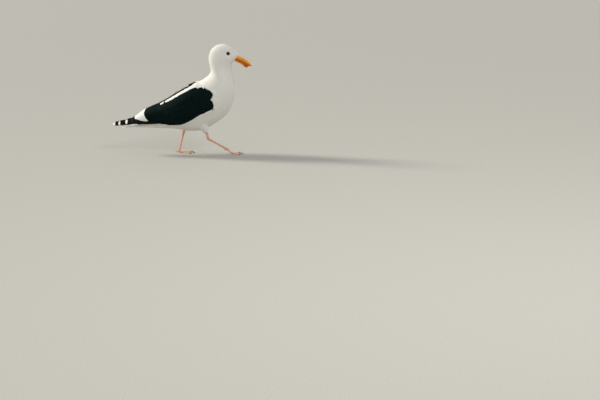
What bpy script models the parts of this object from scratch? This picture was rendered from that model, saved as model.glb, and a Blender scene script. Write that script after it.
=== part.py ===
"""A western gull, life size, caught in mid-stride: a still model with no joints.

The bird walks towards +X with its right side towards -Y, and the floor is z = 0. Its back slopes down to
a level tail, its neck is upright and its bill points a little down. The right leg reaches forward, and the
left one, which carries the weight, stands close to the middle line. Sections and paths are in millimetres,
scaled once by MM. Blender 4.5, metres, +Z up.
"""

import math
from typing import NamedTuple

import bmesh
import bpy
import numpy as np
from mathutils import Vector

MM = 0.001

# Driving dimensions, in millimetres.
GAP = 0.3  # clearance between neighbouring pieces
EYE_RADIUS = 9.0  # most of each eyeball is inside the head
EYE_PLACE = (150.0, 15.7, 327.5)  # ahead, out from the middle, above the floor
ANKLE_RADIUS = 4.6
TARSUS_RADIUS = 3.2
WEB_THICKNESS = 1.1
TOE_HEIGHT = 4.6
TOE_HALF_WIDTH = 3.0
TOE_SPREAD = 25.0  # degrees between the middle toe and each side toe
CLAW_LENGTH = 6.5
AROUND_BODY = 22  # points round a slice of the body
AROUND_WING = 14
AROUND_LIMB = 8


class Slice(NamedTuple):
    """One slanting slice of the body, from the back line to the throat, breast or belly line."""

    place: str
    back: tuple
    front: tuple
    half_width: float
    fullness: float  # above 0 the slice is widest towards the back, below 0 towards the front


BODY = (
    Slice("feather line at the bill", (184.0, 321.5), (168.0, 301.2), 10.0, 0.00),
    Slice("lores", (176.5, 333.0), (164.0, 297.0), 16.0, 0.04),
    Slice("brow", (163.5, 344.5), (161.3, 291.5), 21.0, 0.06),
    Slice("over the eye", (148.0, 352.8), (160.5, 287.0), 23.5, 0.04),
    Slice("crown", (131.0, 357.0), (161.0, 281.0), 25.0, 0.00),
    Slice("back of the crown", (112.0, 352.0), (162.0, 274.0), 26.0, 0.00),
    Slice("back of the head", (97.0, 339.8), (163.5, 266.0), 26.5, 0.00),
    Slice("nape", (88.5, 320.5), (165.5, 255.0), 28.0, 0.00),
    Slice("neck", (88.0, 301.0), (168.0, 240.0), 31.0, -0.02),
    Slice("low neck", (92.0, 283.0), (170.5, 221.0), 36.5, -0.04),
    Slice("base of the neck", (93.0, 265.5), (170.5, 196.0), 42.5, -0.04),
    Slice("shoulders", (73.0, 245.5), (163.5, 164.0), 49.0, 0.00),
    Slice("breast", (40.0, 228.0), (146.0, 132.0), 53.5, 0.06),
    Slice("fore belly", (-2.0, 204.0), (106.0, 100.0), 55.0, 0.08),
    Slice("belly", (-42.0, 178.0), (60.0, 77.0), 52.0, 0.06),
    Slice("hind belly", (-76.0, 155.0), (14.0, 75.0), 43.5, 0.00),
    Slice("vent", (-102.0, 134.0), (-28.0, 82.0), 33.0, -0.04),
    Slice("rump", (-120.0, 117.0), (-68.0, 83.5), 25.0, -0.04),
    Slice("tail coverts", (-138.0, 104.5), (-104.0, 85.0), 21.0, 0.00),
    Slice("root of the tail", (-154.0, 97.5), (-134.0, 86.0), 21.0, 0.00),
    Slice("middle of the tail", (-172.0, 93.6), (-163.0, 87.2), 24.0, 0.00),
    Slice("end of the tail", (-192.0, 91.4), (-190.0, 88.2), 26.5, 0.00),
    Slice("tip of the tail", (-200.5, 90.6), (-200.0, 89.0), 24.0, 0.00),
)

# Where thin cuts part the body: a point on the cut, and the way across it towards the head.
HEAD_CUT = ((120.0, 296.0), (-0.25, 0.97))
NECK_CUT = ((132.0, 228.0), (0.62, 0.78))
TAIL_CUT = ((-124.0, 95.0), (1.0, 0.18))

# The mantle: the slate cap between the wings, parted from the trunk along the slope of the back.
MANTLE_FRONT = (44.0, 229.0)
MANTLE_REAR = (-64.0, 163.0)
MANTLE_DEPTH = 8.0


class WingSlice(NamedTuple):
    """One slice of a folded wing: its upper and lower edge (ahead, outwards, up) and how it swells."""

    upper: tuple
    lower: tuple
    bulge: float  # how far the outer side stands out from the line between the edges
    depth: float  # how far the inner side lies on the body's side of that line


WING = (
    WingSlice((103.5, 50.5, 196.0), (106.0, 54.5, 170.0), 2.0, 3.0),
    WingSlice((98.0, 48.5, 207.0), (101.5, 57.0, 154.0), 6.5, 8.0),
    WingSlice((79.0, 41.5, 221.0), (86.0, 58.5, 145.0), 11.0, 9.0),
    WingSlice((50.0, 28.0, 233.0), (58.0, 58.0, 131.0), 18.0, 8.0),
    WingSlice((16.0, 24.0, 220.5), (27.0, 56.5, 113.5), 21.5, 6.0),
    WingSlice((-18.0, 21.0, 201.0), (-4.0, 52.5, 103.0), 21.5, 5.0),
    WingSlice((-50.0, 15.5, 180.5), (-37.0, 46.0, 102.5), 19.0, 4.0),
    WingSlice((-80.0, 8.5, 162.5), (-71.0, 39.0, 108.5), 15.5, 3.5),
    WingSlice((-108.0, 4.0, 149.5), (-102.0, 32.0, 112.0), 11.5, 3.0),
    WingSlice((-126.0, 3.0, 140.0), (-125.0, 26.5, 111.0), 8.5, 3.0),
    WingSlice((-142.0, 3.5, 129.5), (-142.5, 21.5, 110.5), 5.0, 2.5),
    WingSlice((-153.0, 6.0, 121.5), (-154.0, 16.5, 112.0), 2.0, 1.5),
)
TERTIAL_CUT = ((-122.0, 130.0), (1.0, 0.06))  # the slate wing ahead, the white tips of the tertials behind


class Blade(NamedTuple):
    """One slice of the folded primaries: its middle (ahead, outwards, up), half sizes and lean."""

    middle: tuple
    half_height: float
    half_thickness: float
    lean: float  # degrees that the upper edge leans towards the middle of the bird


PRIMARIES = (
    Blade((-58.0, 43.0, 99.5), 2.0, 1.2, 20.0),
    Blade((-92.0, 36.0, 101.5), 4.0, 1.6, 22.0),
    Blade((-128.0, 27.0, 105.0), 7.5, 1.8, 30.0),
    Blade((-154.0, 20.0, 109.5), 13.0, 1.9, 38.0),
    Blade((-176.0, 15.5, 106.5), 11.5, 1.8, 42.0),
    Blade((-198.0, 12.0, 103.0), 9.0, 1.6, 42.0),
    Blade((-216.0, 9.5, 99.0), 6.6, 1.3, 42.0),
    Blade((-224.8, 8.4, 96.9), 3.4, 0.9, 42.0),
    Blade((-227.2, 8.2, 96.3), 1.2, 0.6, 42.0),
)

# The bill in the middle plane: ahead, above the floor. It starts just ahead of the feather line.
CULMEN = ((182.8, 318.9), (195.0, 314.4), (206.5, 308.0), (216.0, 300.6), (223.2, 292.8), (227.2, 286.0))
UPPER_EDGE = ((175.6, 308.3), (187.0, 302.8), (198.5, 296.8), (208.5, 292.0), (218.0, 288.2), (226.2, 285.2))
LOWER_EDGE = ((175.2, 307.6), (185.0, 302.6), (195.0, 297.4), (204.0, 292.9), (212.0, 289.4), (219.3, 286.8))
KEEL = ((169.9, 302.2), (181.0, 297.4), (192.0, 292.0), (202.0, 284.8), (208.5, 281.0), (218.2, 285.0))
UPPER_HALF_WIDTHS = (8.4, 7.6, 6.6, 5.4, 3.8, 0.8)
LOWER_HALF_WIDTHS = (7.8, 6.8, 5.8, 4.8, 3.6, 0.8)


class Leg(NamedTuple):
    """One leg: its joints (ahead, to the left, up) and how its foot lies."""

    side: str
    hip: tuple
    knee: tuple
    sleeve_end: tuple
    ankle: tuple
    knuckle: tuple
    toe_in: float  # degrees that the middle toe points to the bird's left
    heel_lift: float  # how far the root of the toes is off the floor
    flat_from: float  # distance from the knuckle at which the toes reach the floor


LEGS = (
    Leg(
        "right", (44.0, -19.0, 130.0), (60.0, -21.5, 108.0), (78.0, -23.5, 73.0), (86.0, -23.0, 50.0),
        (146.5, -19.0, 15.5), 2.0, 10.0, 25.0,
    ),
    Leg(
        "left", (26.0, 17.5, 126.0), (14.0, 19.0, 104.0), (5.0, 18.5, 79.5), (2.0, 17.0, 71.0),
        (-13.5, 8.5, 6.5), -4.0, 0.0, 0.0,
    ),
)
SLEEVE_RADII = (20.0, 20.5, 15.5, 7.2)
TOES = (("left", 1.0, 42.0), ("middle", 0.0, 46.0), ("right", -1.0, 42.0))

MATERIALS = {
    "white_plumage": ((0.78, 0.77, 0.72), 0.85),
    "slate_plumage": ((0.016, 0.022, 0.024), 0.70),
    "black_plumage": ((0.006, 0.006, 0.007), 0.60),
    "bill_horn": ((0.80, 0.33, 0.03), 0.40),
    "leg_skin": ((0.70, 0.36, 0.26), 0.55),
    "claw_horn": ((0.03, 0.02, 0.018), 0.40),
    "eye_cornea": ((0.02, 0.014, 0.008), 0.08),
}


def clear_scene():
    for obj in list(bpy.data.objects):
        bpy.data.objects.remove(obj, do_unlink=True)


def collection_named(name):
    made = bpy.data.collections.new(name)
    bpy.context.scene.collection.children.link(made)
    return made


def material_named(name):
    """The Principled material of that name from MATERIALS, made the first time it is asked for."""
    if name in bpy.data.materials:
        return bpy.data.materials[name]
    colour, roughness = MATERIALS[name]
    made = bpy.data.materials.new(name)
    made.use_nodes = True
    shader = made.node_tree.nodes["Principled BSDF"]
    shader.inputs["Base Color"].default_value = (*colour, 1.0)
    shader.inputs["Roughness"].default_value = roughness
    shader.inputs["Metallic"].default_value = 0.0
    made.diffuse_color = (*colour, 1.0)
    return made


def spline(rows, count):
    """A smooth curve through rows of numbers, read at count evenly spaced places along it."""
    rows = np.asarray(rows, float)
    knots = np.concatenate([[0.0], np.cumsum(np.linalg.norm(np.diff(rows, axis=0), axis=1))])
    slopes = np.gradient(rows, knots, axis=0)
    at = np.linspace(0.0, knots[-1], count)
    i = np.clip(np.searchsorted(knots, at, side="right") - 1, 0, len(rows) - 2)
    span = (knots[i + 1] - knots[i])[:, None]
    u = (at - knots[i])[:, None] / span
    start = (1 + 2 * u) * (1 - u) ** 2 * rows[i] + u * (1 - u) ** 2 * span * slopes[i]
    end = u * u * (3 - 2 * u) * rows[i + 1] + u * u * (u - 1) * span * slopes[i + 1]
    return start + end


def between(start, end, share):
    return tuple(np.asarray(start) + (np.asarray(end) - np.asarray(start)) * share)


def add_object(name, mesh, material, where):
    obj = bpy.data.objects.new(name, mesh)
    mesh.materials.append(material_named(material))
    where.objects.link(obj)
    return obj


def finish_mesh(name, body, material, where):
    """Triangles turned outwards and shaded smooth, on a new object in the collection where.

    A piece and the seat grown from it then share every diagonal, so the seat clears it all over.
    """
    bmesh.ops.recalc_face_normals(body, faces=body.faces)
    bmesh.ops.triangulate(body, faces=body.faces, quad_method="FIXED")
    mesh = bpy.data.meshes.new(name)
    body.to_mesh(mesh)
    body.free()
    mesh.shade_smooth()
    mesh.set_sharp_from_angle(angle=math.radians(50))
    return add_object(name, mesh, material, where)


def lofted(name, rings, material, where):
    """A closed body from rings of points in millimetres, capped flat at both ends."""
    body = bmesh.new()
    verts = [[body.verts.new(point) for point in ring] for ring in np.asarray(rings, float) * MM]
    around = len(verts[0])
    for near, far in zip(verts, verts[1:]):
        for j in range(around):
            k = (j + 1) % around
            body.faces.new((near[j], near[k], far[k], far[j]))
    body.faces.new(verts[0][::-1])
    body.faces.new(verts[-1])
    return finish_mesh(name, body, material, where)


def as_helper(obj):
    obj.hide_render = True
    obj.display_type = "WIRE"
    return obj


def grown_cutter(obj, where, amount=GAP):
    """A hidden copy of obj, larger by amount all round, that cuts the seat for it."""
    mesh = obj.data.copy()
    body = bmesh.new()
    body.from_mesh(mesh)
    body.normal_update()
    moved = [vert.co + vert.normal * amount * MM for vert in body.verts]
    for vert, place in zip(body.verts, moved):
        vert.co = place
    body.to_mesh(mesh)
    body.free()
    cutter = bpy.data.objects.new(obj.name + "_seat", mesh)
    cutter.location = obj.location
    cutter.rotation_euler = obj.rotation_euler
    where.objects.link(cutter)
    return as_helper(cutter)


def add_boolean(obj, operation, other):
    modifier = obj.modifiers.new(f"{operation.lower()}_{other.name}", "BOOLEAN")
    modifier.operation = operation
    modifier.solver = "EXACT"
    modifier.object = other


def keep_side(obj, place, way, sign):
    """Keeps what lies on one side of an upright cut, less half the gap, and closes the cut flat."""
    normal = Vector((way[0], 0.0, way[1])).normalized() * sign
    point = Vector((place[0], 0.0, place[1])) + normal * GAP / 2
    body = bmesh.new()
    body.from_mesh(obj.data)
    geometry = body.verts[:] + body.edges[:] + body.faces[:]
    found = bmesh.ops.bisect_plane(
        body, geom=geometry, plane_co=point * MM, plane_no=normal, clear_inner=True, dist=1e-7
    )
    rim = [item for item in found["geom_cut"] if isinstance(item, bmesh.types.BMEdge)]
    bmesh.ops.edgeloop_fill(body, edges=rim)
    bmesh.ops.recalc_face_normals(body, faces=body.faces)
    body.to_mesh(obj.data)
    body.free()
    obj.data.set_sharp_from_angle(angle=math.radians(50))


def body_rings(count):
    """The body's slices: each is an oval between the back line and the front line."""
    angle = np.linspace(0.0, 2 * math.pi, AROUND_BODY, endpoint=False)
    toward_back = (1 + np.cos(angle)) / 2
    rings = []
    rows = [(*s.back, *s.front, s.half_width, s.fullness * 100) for s in BODY]
    for back_x, back_z, front_x, front_z, half_width, fullness in spline(rows, count):
        side = half_width * np.sin(angle) * (1 + fullness / 100 * np.cos(angle))
        ahead = front_x + (back_x - front_x) * toward_back
        up = front_z + (back_z - front_z) * toward_back
        rings.append(np.stack([ahead, side, up], axis=1))
    return rings


def make_body(parts, cutters):
    """Head, neck, trunk, mantle and tail: one form, parted by thin cuts."""
    rings = body_rings(36)
    head = lofted("head", rings, "white_plumage", parts)
    neck = lofted("neck", rings, "white_plumage", parts)
    trunk = lofted("trunk", rings, "white_plumage", parts)
    tail = lofted("tail", rings, "white_plumage", parts)
    keep_side(head, *HEAD_CUT, 1)
    keep_side(neck, *HEAD_CUT, -1)
    keep_side(neck, *NECK_CUT, 1)
    keep_side(trunk, *NECK_CUT, -1)
    keep_side(trunk, *TAIL_CUT, 1)
    keep_side(tail, *TAIL_CUT, -1)
    mantle = lofted("mantle", rings, "slate_plumage", parts)
    add_boolean(mantle, "INTERSECT", mantle_box("mantle_inside", GAP, cutters))
    add_boolean(trunk, "DIFFERENCE", mantle_box("mantle_seat", 0.0, cutters))
    return head, neck, trunk, mantle, tail


def mantle_box(name, inset, cutters):
    """A box whose floor lies MANTLE_DEPTH under the slope of the back, smaller all round by inset."""
    slope = math.atan2(MANTLE_FRONT[1] - MANTLE_REAR[1], MANTLE_FRONT[0] - MANTLE_REAR[0])
    length = math.dist(MANTLE_FRONT, MANTLE_REAR)
    height, width = 60.0, 160.0
    body = bmesh.new()
    bmesh.ops.create_cube(body, size=1.0)
    mesh = bpy.data.meshes.new(name)
    body.to_mesh(mesh)
    body.free()
    box = bpy.data.objects.new(name, mesh)
    rise = Vector((-math.sin(slope), 0.0, math.cos(slope))) * (height / 2 - MANTLE_DEPTH + inset)
    middle = Vector((*between(MANTLE_FRONT, MANTLE_REAR, 0.5), 0.0)).xzy
    box.location = (middle + rise) * MM
    box.rotation_euler = (0.0, -slope, 0.0)
    box.scale = Vector((length - 2 * inset, width, height)) * MM
    cutters.objects.link(box)
    return as_helper(box)


def make_eyes(parts):
    eyes = []
    for name, side in (("eye_right", -1), ("eye_left", 1)):
        body = bmesh.new()
        bmesh.ops.create_uvsphere(body, u_segments=16, v_segments=10, radius=EYE_RADIUS * MM)
        eye = finish_mesh(name, body, "eye_cornea", parts)
        eye.location = Vector((EYE_PLACE[0], side * EYE_PLACE[1], EYE_PLACE[2])) * MM
        eye.rotation_euler = (math.radians(90), 0.0, 0.0)
        eyes.append(eye)
    return eyes


def bill_half(name, ridge, edge, half_widths, parts):
    """Half of the bill: slices from its cutting edge to its ridge, rounded over the ridge."""
    across = np.linspace(-1.0, 1.0, 11)
    rise = (1 - np.abs(across) ** 2.2) ** 0.6
    floor = np.linspace(0.66, -0.66, 3)
    rings = []
    rows = [(*r, *e, w) for r, e, w in zip(ridge, edge, half_widths)]
    for ridge_x, ridge_z, edge_x, edge_z, half_width in spline(rows, 12):
        edge_point = np.array([edge_x, 0.0, edge_z])
        to_ridge = np.array([ridge_x - edge_x, 0.0, ridge_z - edge_z])
        aside = np.array([0.0, half_width, 0.0])
        outer = edge_point + np.outer(rise, to_ridge) + np.outer(across, aside)
        inner = edge_point + to_ridge * 0.06 + np.outer(floor, aside)
        rings.append(np.concatenate([outer, inner]))
    return lofted(name, rings, "bill_horn", parts)


def wing_rings(side, count):
    """The folded wing's slices: a lens between its edges, swollen outwards and shallow on the inside."""
    down = np.linspace(0.0, 1.0, AROUND_WING // 2 + 1)
    swell = np.sin(math.pi * down) ** 0.75
    rings = []
    for row in spline([(*s.upper, *s.lower, s.bulge, s.depth) for s in WING], count):
        upper, line, bulge, depth = row[:3], row[3:6] - row[:3], row[6], row[7]
        out = np.array([0.0, -line[2], line[1]]) / math.hypot(line[1], line[2])
        outer = upper + down[:, None] * line + out * (bulge * swell)[:, None]
        inner = upper + down[:, None] * line - out * (depth * swell)[:, None] - [0.0, 1.2, 0.0]
        rings.append(np.concatenate([outer, inner[-2:0:-1]]) * [1.0, side, 1.0])
    return rings


def make_wing(name, side, parts):
    """A folded wing and the white tips of its tertials behind it."""
    rings = wing_rings(side, 18)
    wing = lofted("wing_" + name, rings, "slate_plumage", parts)
    tertials = lofted("tertials_" + name, rings, "white_plumage", parts)
    keep_side(wing, *TERTIAL_CUT, 1)
    keep_side(tertials, *TERTIAL_CUT, -1)
    return wing, tertials


def make_primaries(name, side, parts):
    """The folded primaries: slices of a thin blade that leans over the tail."""
    angle = np.linspace(0.0, 2 * math.pi, 8, endpoint=False)
    rings = []
    rows = [(*s.middle, s.half_height, s.half_thickness, s.lean) for s in PRIMARIES]
    for x, y, z, half_height, half_thickness, lean in spline(rows, 13):
        tilt = math.radians(lean)
        up = np.array([0.0, -math.sin(tilt), math.cos(tilt)])
        out = np.array([0.0, math.cos(tilt), math.sin(tilt)])
        ring = np.outer(np.cos(angle) * half_height, up) + np.outer(np.sin(angle) * half_thickness, out)
        rings.append((ring + [x, y, z]) * [1.0, side, 1.0])
    return lofted("primaries_" + name, rings, "black_plumage", parts)


def tube_rings(path, radii, count, around=AROUND_LIMB):
    """Round slices square to a smooth path that stays in one upright plane, more or less."""
    rows = spline([(*point, radius) for point, radius in zip(path, radii)], count)
    centres, sizes = rows[:, :3], rows[:, 3:4, None]
    ahead = np.gradient(centres, axis=0)
    ahead /= np.linalg.norm(ahead, axis=1)[:, None]
    above = np.cross(ahead, [0.0, 1.0, 0.0])
    above /= np.linalg.norm(above, axis=1)[:, None]
    beside = np.cross(above, ahead)
    angle = np.linspace(0.0, 2 * math.pi, around, endpoint=False)[None, :, None]
    return centres[:, None] + sizes * (np.cos(angle) * beside[:, None] + np.sin(angle) * above[:, None])


def make_thigh(leg, parts):
    """The feathered part of the leg, which narrows to a sleeve above the ankle."""
    path = [leg.hip, leg.knee, between(leg.knee, leg.sleeve_end, 0.55), leg.sleeve_end]
    return lofted("thigh_" + leg.side, tube_rings(path, SLEEVE_RADII, 7, 14), "white_plumage", parts)


def make_shank(leg, parts):
    """The bare end of the tibia, the ankle and the tarsus, down to the joint above the foot."""
    inside = between(leg.sleeve_end, leg.knee, 0.25)
    path = [inside, leg.sleeve_end, leg.ankle]
    path += [between(leg.ankle, leg.knuckle, share) for share in (0.16, 0.5, 0.88)]
    radii = [3.4, 3.5, ANKLE_RADIUS, TARSUS_RADIUS + 0.4, TARSUS_RADIUS, TARSUS_RADIUS + 0.3]
    return lofted("shank_" + leg.side, tube_rings(path, radii, 15), "leg_skin", parts)


def toe_way(leg, sign):
    """The level direction of a toe, fanned out from the middle one."""
    angle = math.radians(leg.toe_in + sign * TOE_SPREAD)
    return np.array([math.cos(angle), math.sin(angle), 0.0])


def lift_at(leg, distance):
    """How far the underside of a toe is off the floor, at a distance from the knuckle."""
    if not leg.flat_from:
        return np.zeros_like(np.asarray(distance, float))
    return leg.heel_lift * np.clip(1 - np.asarray(distance, float) / leg.flat_from, 0.0, 1.0) ** 1.5


def sole(leg):
    """The fan of three toes and two webs, flat underneath: a closed sheet, thick along the toes."""
    near_toe = np.array([-0.16, -0.08, 0.0, 0.08, 0.16])
    turns = np.concatenate([near_toe - 1, [-0.5], near_toe, [0.5], near_toe + 1])
    nearest = np.clip(np.round(turns), -1, 1)
    from_toe = np.abs(turns - nearest)
    lengths = {sign: length for _, sign, length in TOES}
    reach = np.interp(turns, sorted(lengths), [lengths[sign] for sign in sorted(lengths)])
    reach = reach * (1 - 0.17 * np.sin(math.pi * np.clip(from_toe, 0, 0.5)) ** 0.8)
    ways = np.array([toe_way(leg, turn) for turn in turns])
    start = np.array([leg.knuckle[0], leg.knuckle[1], 0.0])
    body = bmesh.new()
    tops, bottoms = [], []
    for out in np.linspace(0.06, 1.0, 8):
        distance = reach * out
        aside = from_toe * math.radians(TOE_SPREAD) * distance
        toe = np.clip(1 - (aside / TOE_HALF_WIDTH) ** 2, 0.0, 1.0) ** 0.5
        height = WEB_THICKNESS + (TOE_HEIGHT * (1 - 0.35 * out) - WEB_THICKNESS) * toe
        level = start + ways * distance[:, None]
        level[:, 2] = lift_at(leg, distance)
        bottoms.append([body.verts.new(point * MM) for point in level])
        level[:, 2] += height
        tops.append([body.verts.new(point * MM) for point in level])
    close_sheet(body, tops, bottoms)
    return body


def rim_of(grid):
    """The vertices round the edge of a grid, in order."""
    first_side = [row[0] for row in grid[-2:0:-1]]
    last_side = [row[-1] for row in grid[1:-1]]
    return grid[0] + last_side + grid[-1][::-1] + first_side


def close_sheet(body, tops, bottoms):
    """Faces over, under and round a sheet given as two grids of vertices."""
    for grid in (tops, bottoms):
        for near, far in zip(grid, grid[1:]):
            for j in range(len(near) - 1):
                body.faces.new((near[j], near[j + 1], far[j + 1], far[j]))
    rim_top, rim_low = rim_of(tops), rim_of(bottoms)
    for j in range(len(rim_top)):
        k = (j + 1) % len(rim_top)
        body.faces.new((rim_top[j], rim_top[k], rim_low[k], rim_low[j]))


def shin_way(leg):
    """The direction from the knuckle of the foot up to the ankle."""
    return Vector(np.array(leg.ankle) - leg.knuckle).normalized()


def make_foot(leg, parts, cutters):
    """A webbed foot: the joint under the tarsus, three toes with webs, and a small raised hind toe."""
    foot = finish_mesh("foot_" + leg.side, sole(leg), "leg_skin", parts)
    up, way = shin_way(leg), Vector(toe_way(leg, 0.0))
    knuckle = Vector(leg.knuckle)
    top = Vector(between(leg.knuckle, leg.ankle, 0.12)) - up * 2 * GAP
    low = Vector((knuckle.x, knuckle.y, lift_at(leg, 0.0) + 2.2)) + way * 5.0
    joint = tube_rings([top, knuckle, low], [TARSUS_RADIUS + 0.3, 4.0, 2.0], 6)
    back = knuckle - up * 0.5
    tip = back - way * 9.5 - Vector((0, 0, 1.2))
    hind = tube_rings([back, back - way * 5.0, tip], [2.4, 2.0, 1.4], 4, 6)
    for name, rings in (("joint_", joint), ("hind_toe_", hind)):
        add_boolean(foot, "UNION", as_helper(lofted(name + leg.side, rings, "leg_skin", cutters)))
    return foot


def make_claws(leg, parts):
    """A short claw ahead of each front toe."""
    for toe, sign, length in TOES:
        way = toe_way(leg, sign)
        root = np.array([leg.knuckle[0], leg.knuckle[1], 1.9]) + way * (length + GAP)
        path = [root, root + way * CLAW_LENGTH * 0.5 + [0, 0, 0.2], root + way * CLAW_LENGTH - [0, 0, 1.1]]
        lofted(f"claw_{toe}_{leg.side}", tube_rings(path, [1.6, 1.2, 0.4], 5, 6), "claw_horn", parts)


def main():
    clear_scene()
    parts, cutters = collection_named("gull"), collection_named("cutters")
    head, neck, trunk, mantle, tail = make_body(parts, cutters)
    for eye in make_eyes(parts):
        add_boolean(head, "DIFFERENCE", grown_cutter(eye, cutters))
    bill_half("bill_upper", CULMEN, UPPER_EDGE, UPPER_HALF_WIDTHS, parts)
    bill_half("bill_lower", KEEL, LOWER_EDGE, LOWER_HALF_WIDTHS, parts)
    wing_seats = []
    for name, side in (("right", -1), ("left", 1)):
        tip_seat = grown_cutter(make_primaries(name, side, parts), cutters)
        for neighbour in (trunk, tail):
            add_boolean(neighbour, "DIFFERENCE", tip_seat)
        for piece in make_wing(name, side, parts):
            add_boolean(piece, "DIFFERENCE", tip_seat)
            wing_seats.append(grown_cutter(piece, cutters))
            for neighbour in (trunk, mantle, tail):
                add_boolean(neighbour, "DIFFERENCE", wing_seats[-1])
    for leg in LEGS:
        thigh, shank = make_thigh(leg, parts), make_shank(leg, parts)
        add_boolean(trunk, "DIFFERENCE", grown_cutter(thigh, cutters))
        shank_seat = grown_cutter(shank, cutters)
        for cut_piece, seats in ((thigh, [shank_seat, *wing_seats]), (trunk, [shank_seat])):
            for seat in seats:
                add_boolean(cut_piece, "DIFFERENCE", seat)
        make_foot(leg, parts, cutters)
        make_claws(leg, parts)


main()
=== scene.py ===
"""The looks of a western gull in mid-stride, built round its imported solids.

Every surface is worked out with numpy as a grid of points. One skin lies under the coat, and the coat is
laid on the bird's outer form vane by vane, each vane a closed leaf that follows the form under it. Sizes in
the tables are millimetres, scaled once by MM; everything else is in metres, +X ahead, +Z up.
"""

import logging
import math
from collections.abc import Callable, Sequence
from dataclasses import dataclass, field, fields
from enum import Enum
from typing import Self

import bpy
import numpy as np
from bpy.types import Material, Mesh, Node, NodeSocket, Object
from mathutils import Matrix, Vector


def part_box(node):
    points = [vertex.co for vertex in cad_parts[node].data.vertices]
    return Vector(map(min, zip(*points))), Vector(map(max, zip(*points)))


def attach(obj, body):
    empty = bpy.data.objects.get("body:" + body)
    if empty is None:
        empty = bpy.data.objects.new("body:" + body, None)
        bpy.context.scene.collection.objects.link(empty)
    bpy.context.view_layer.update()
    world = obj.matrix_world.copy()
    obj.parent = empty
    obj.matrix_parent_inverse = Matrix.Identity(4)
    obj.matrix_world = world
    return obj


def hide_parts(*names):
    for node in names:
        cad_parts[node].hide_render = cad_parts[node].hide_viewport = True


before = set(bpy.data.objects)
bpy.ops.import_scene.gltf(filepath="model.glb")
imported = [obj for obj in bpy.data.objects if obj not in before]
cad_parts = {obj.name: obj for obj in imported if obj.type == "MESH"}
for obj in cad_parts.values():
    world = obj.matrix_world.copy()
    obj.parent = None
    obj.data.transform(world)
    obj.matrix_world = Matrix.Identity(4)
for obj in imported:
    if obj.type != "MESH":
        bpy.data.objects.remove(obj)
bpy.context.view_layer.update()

Array = np.ndarray
Form = tuple[Array, list[Array]]
Pair = tuple[float, float]
Place = tuple[float, float, float]
Colour = tuple[float, float, float]
Table = tuple[tuple[float, ...], ...]
Sockets = dict[str, object]
MM = 0.001
SIDES = {"right": -1.0, "left": 1.0}
WHITE_DOWN = (0.80, 0.79, 0.75)
NEVER = 9.0  # metres from its root at which a feather without a white end turns white
log = logging.getLogger("gull")


class Slot(Enum):
    """The record's material slots."""

    WHITE = "white_plumage"
    SLATE = "slate_plumage"
    BLACK = "black_plumage"
    BILL = "bill_horn"
    LEG = "leg_skin"
    CLAW = "claw_horn"
    EYE = "eye_cornea"


# ---- shading


def arithmetic(operation: str, turned: bool = False) -> Callable:
    """A method of Value that adds a Math node.

    Args:
        operation: what the node does.
        turned: whether the other number comes first.

    Returns:
        The method.
    """

    def method(self: "Value", *others: "Value | float") -> "Value":
        """The node's answer."""
        terms = (self, *others)
        return self.graph.maths(operation, *(reversed(terms) if turned else terms))

    return method


class Value:
    """A number that a shader node gives, used in plain arithmetic."""

    __add__ = __radd__ = arithmetic("ADD")
    __sub__, __rsub__ = arithmetic("SUBTRACT"), arithmetic("SUBTRACT", True)
    __mul__ = __rmul__ = arithmetic("MULTIPLY")
    __truediv__, __pow__, __abs__ = arithmetic("DIVIDE"), arithmetic("POWER"), arithmetic("ABSOLUTE")

    def __init__(self, graph: "Graph", socket: NodeSocket) -> None:
        """Keeps the socket and the graph that further Math nodes go into."""
        self.graph, self.socket = graph, socket

    def wave(self) -> "Value":
        """A wave between 0 and 1, one to each full turn of this in radians."""
        return self.graph.maths("SINE", self) * 0.5 + 0.5

    def clamped(self) -> "Value":
        """This kept between 0 and 1."""
        return self.graph.maths("MAXIMUM", self.graph.maths("MINIMUM", self, 1.0), 0.0)

    def step(self, low: float, high: float) -> "Value":
        """A smooth step from 0 at low to 1 at high."""
        share = ((self - low) / (high - low)).clamped()
        return share * share * (3.0 - 2.0 * share)


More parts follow.
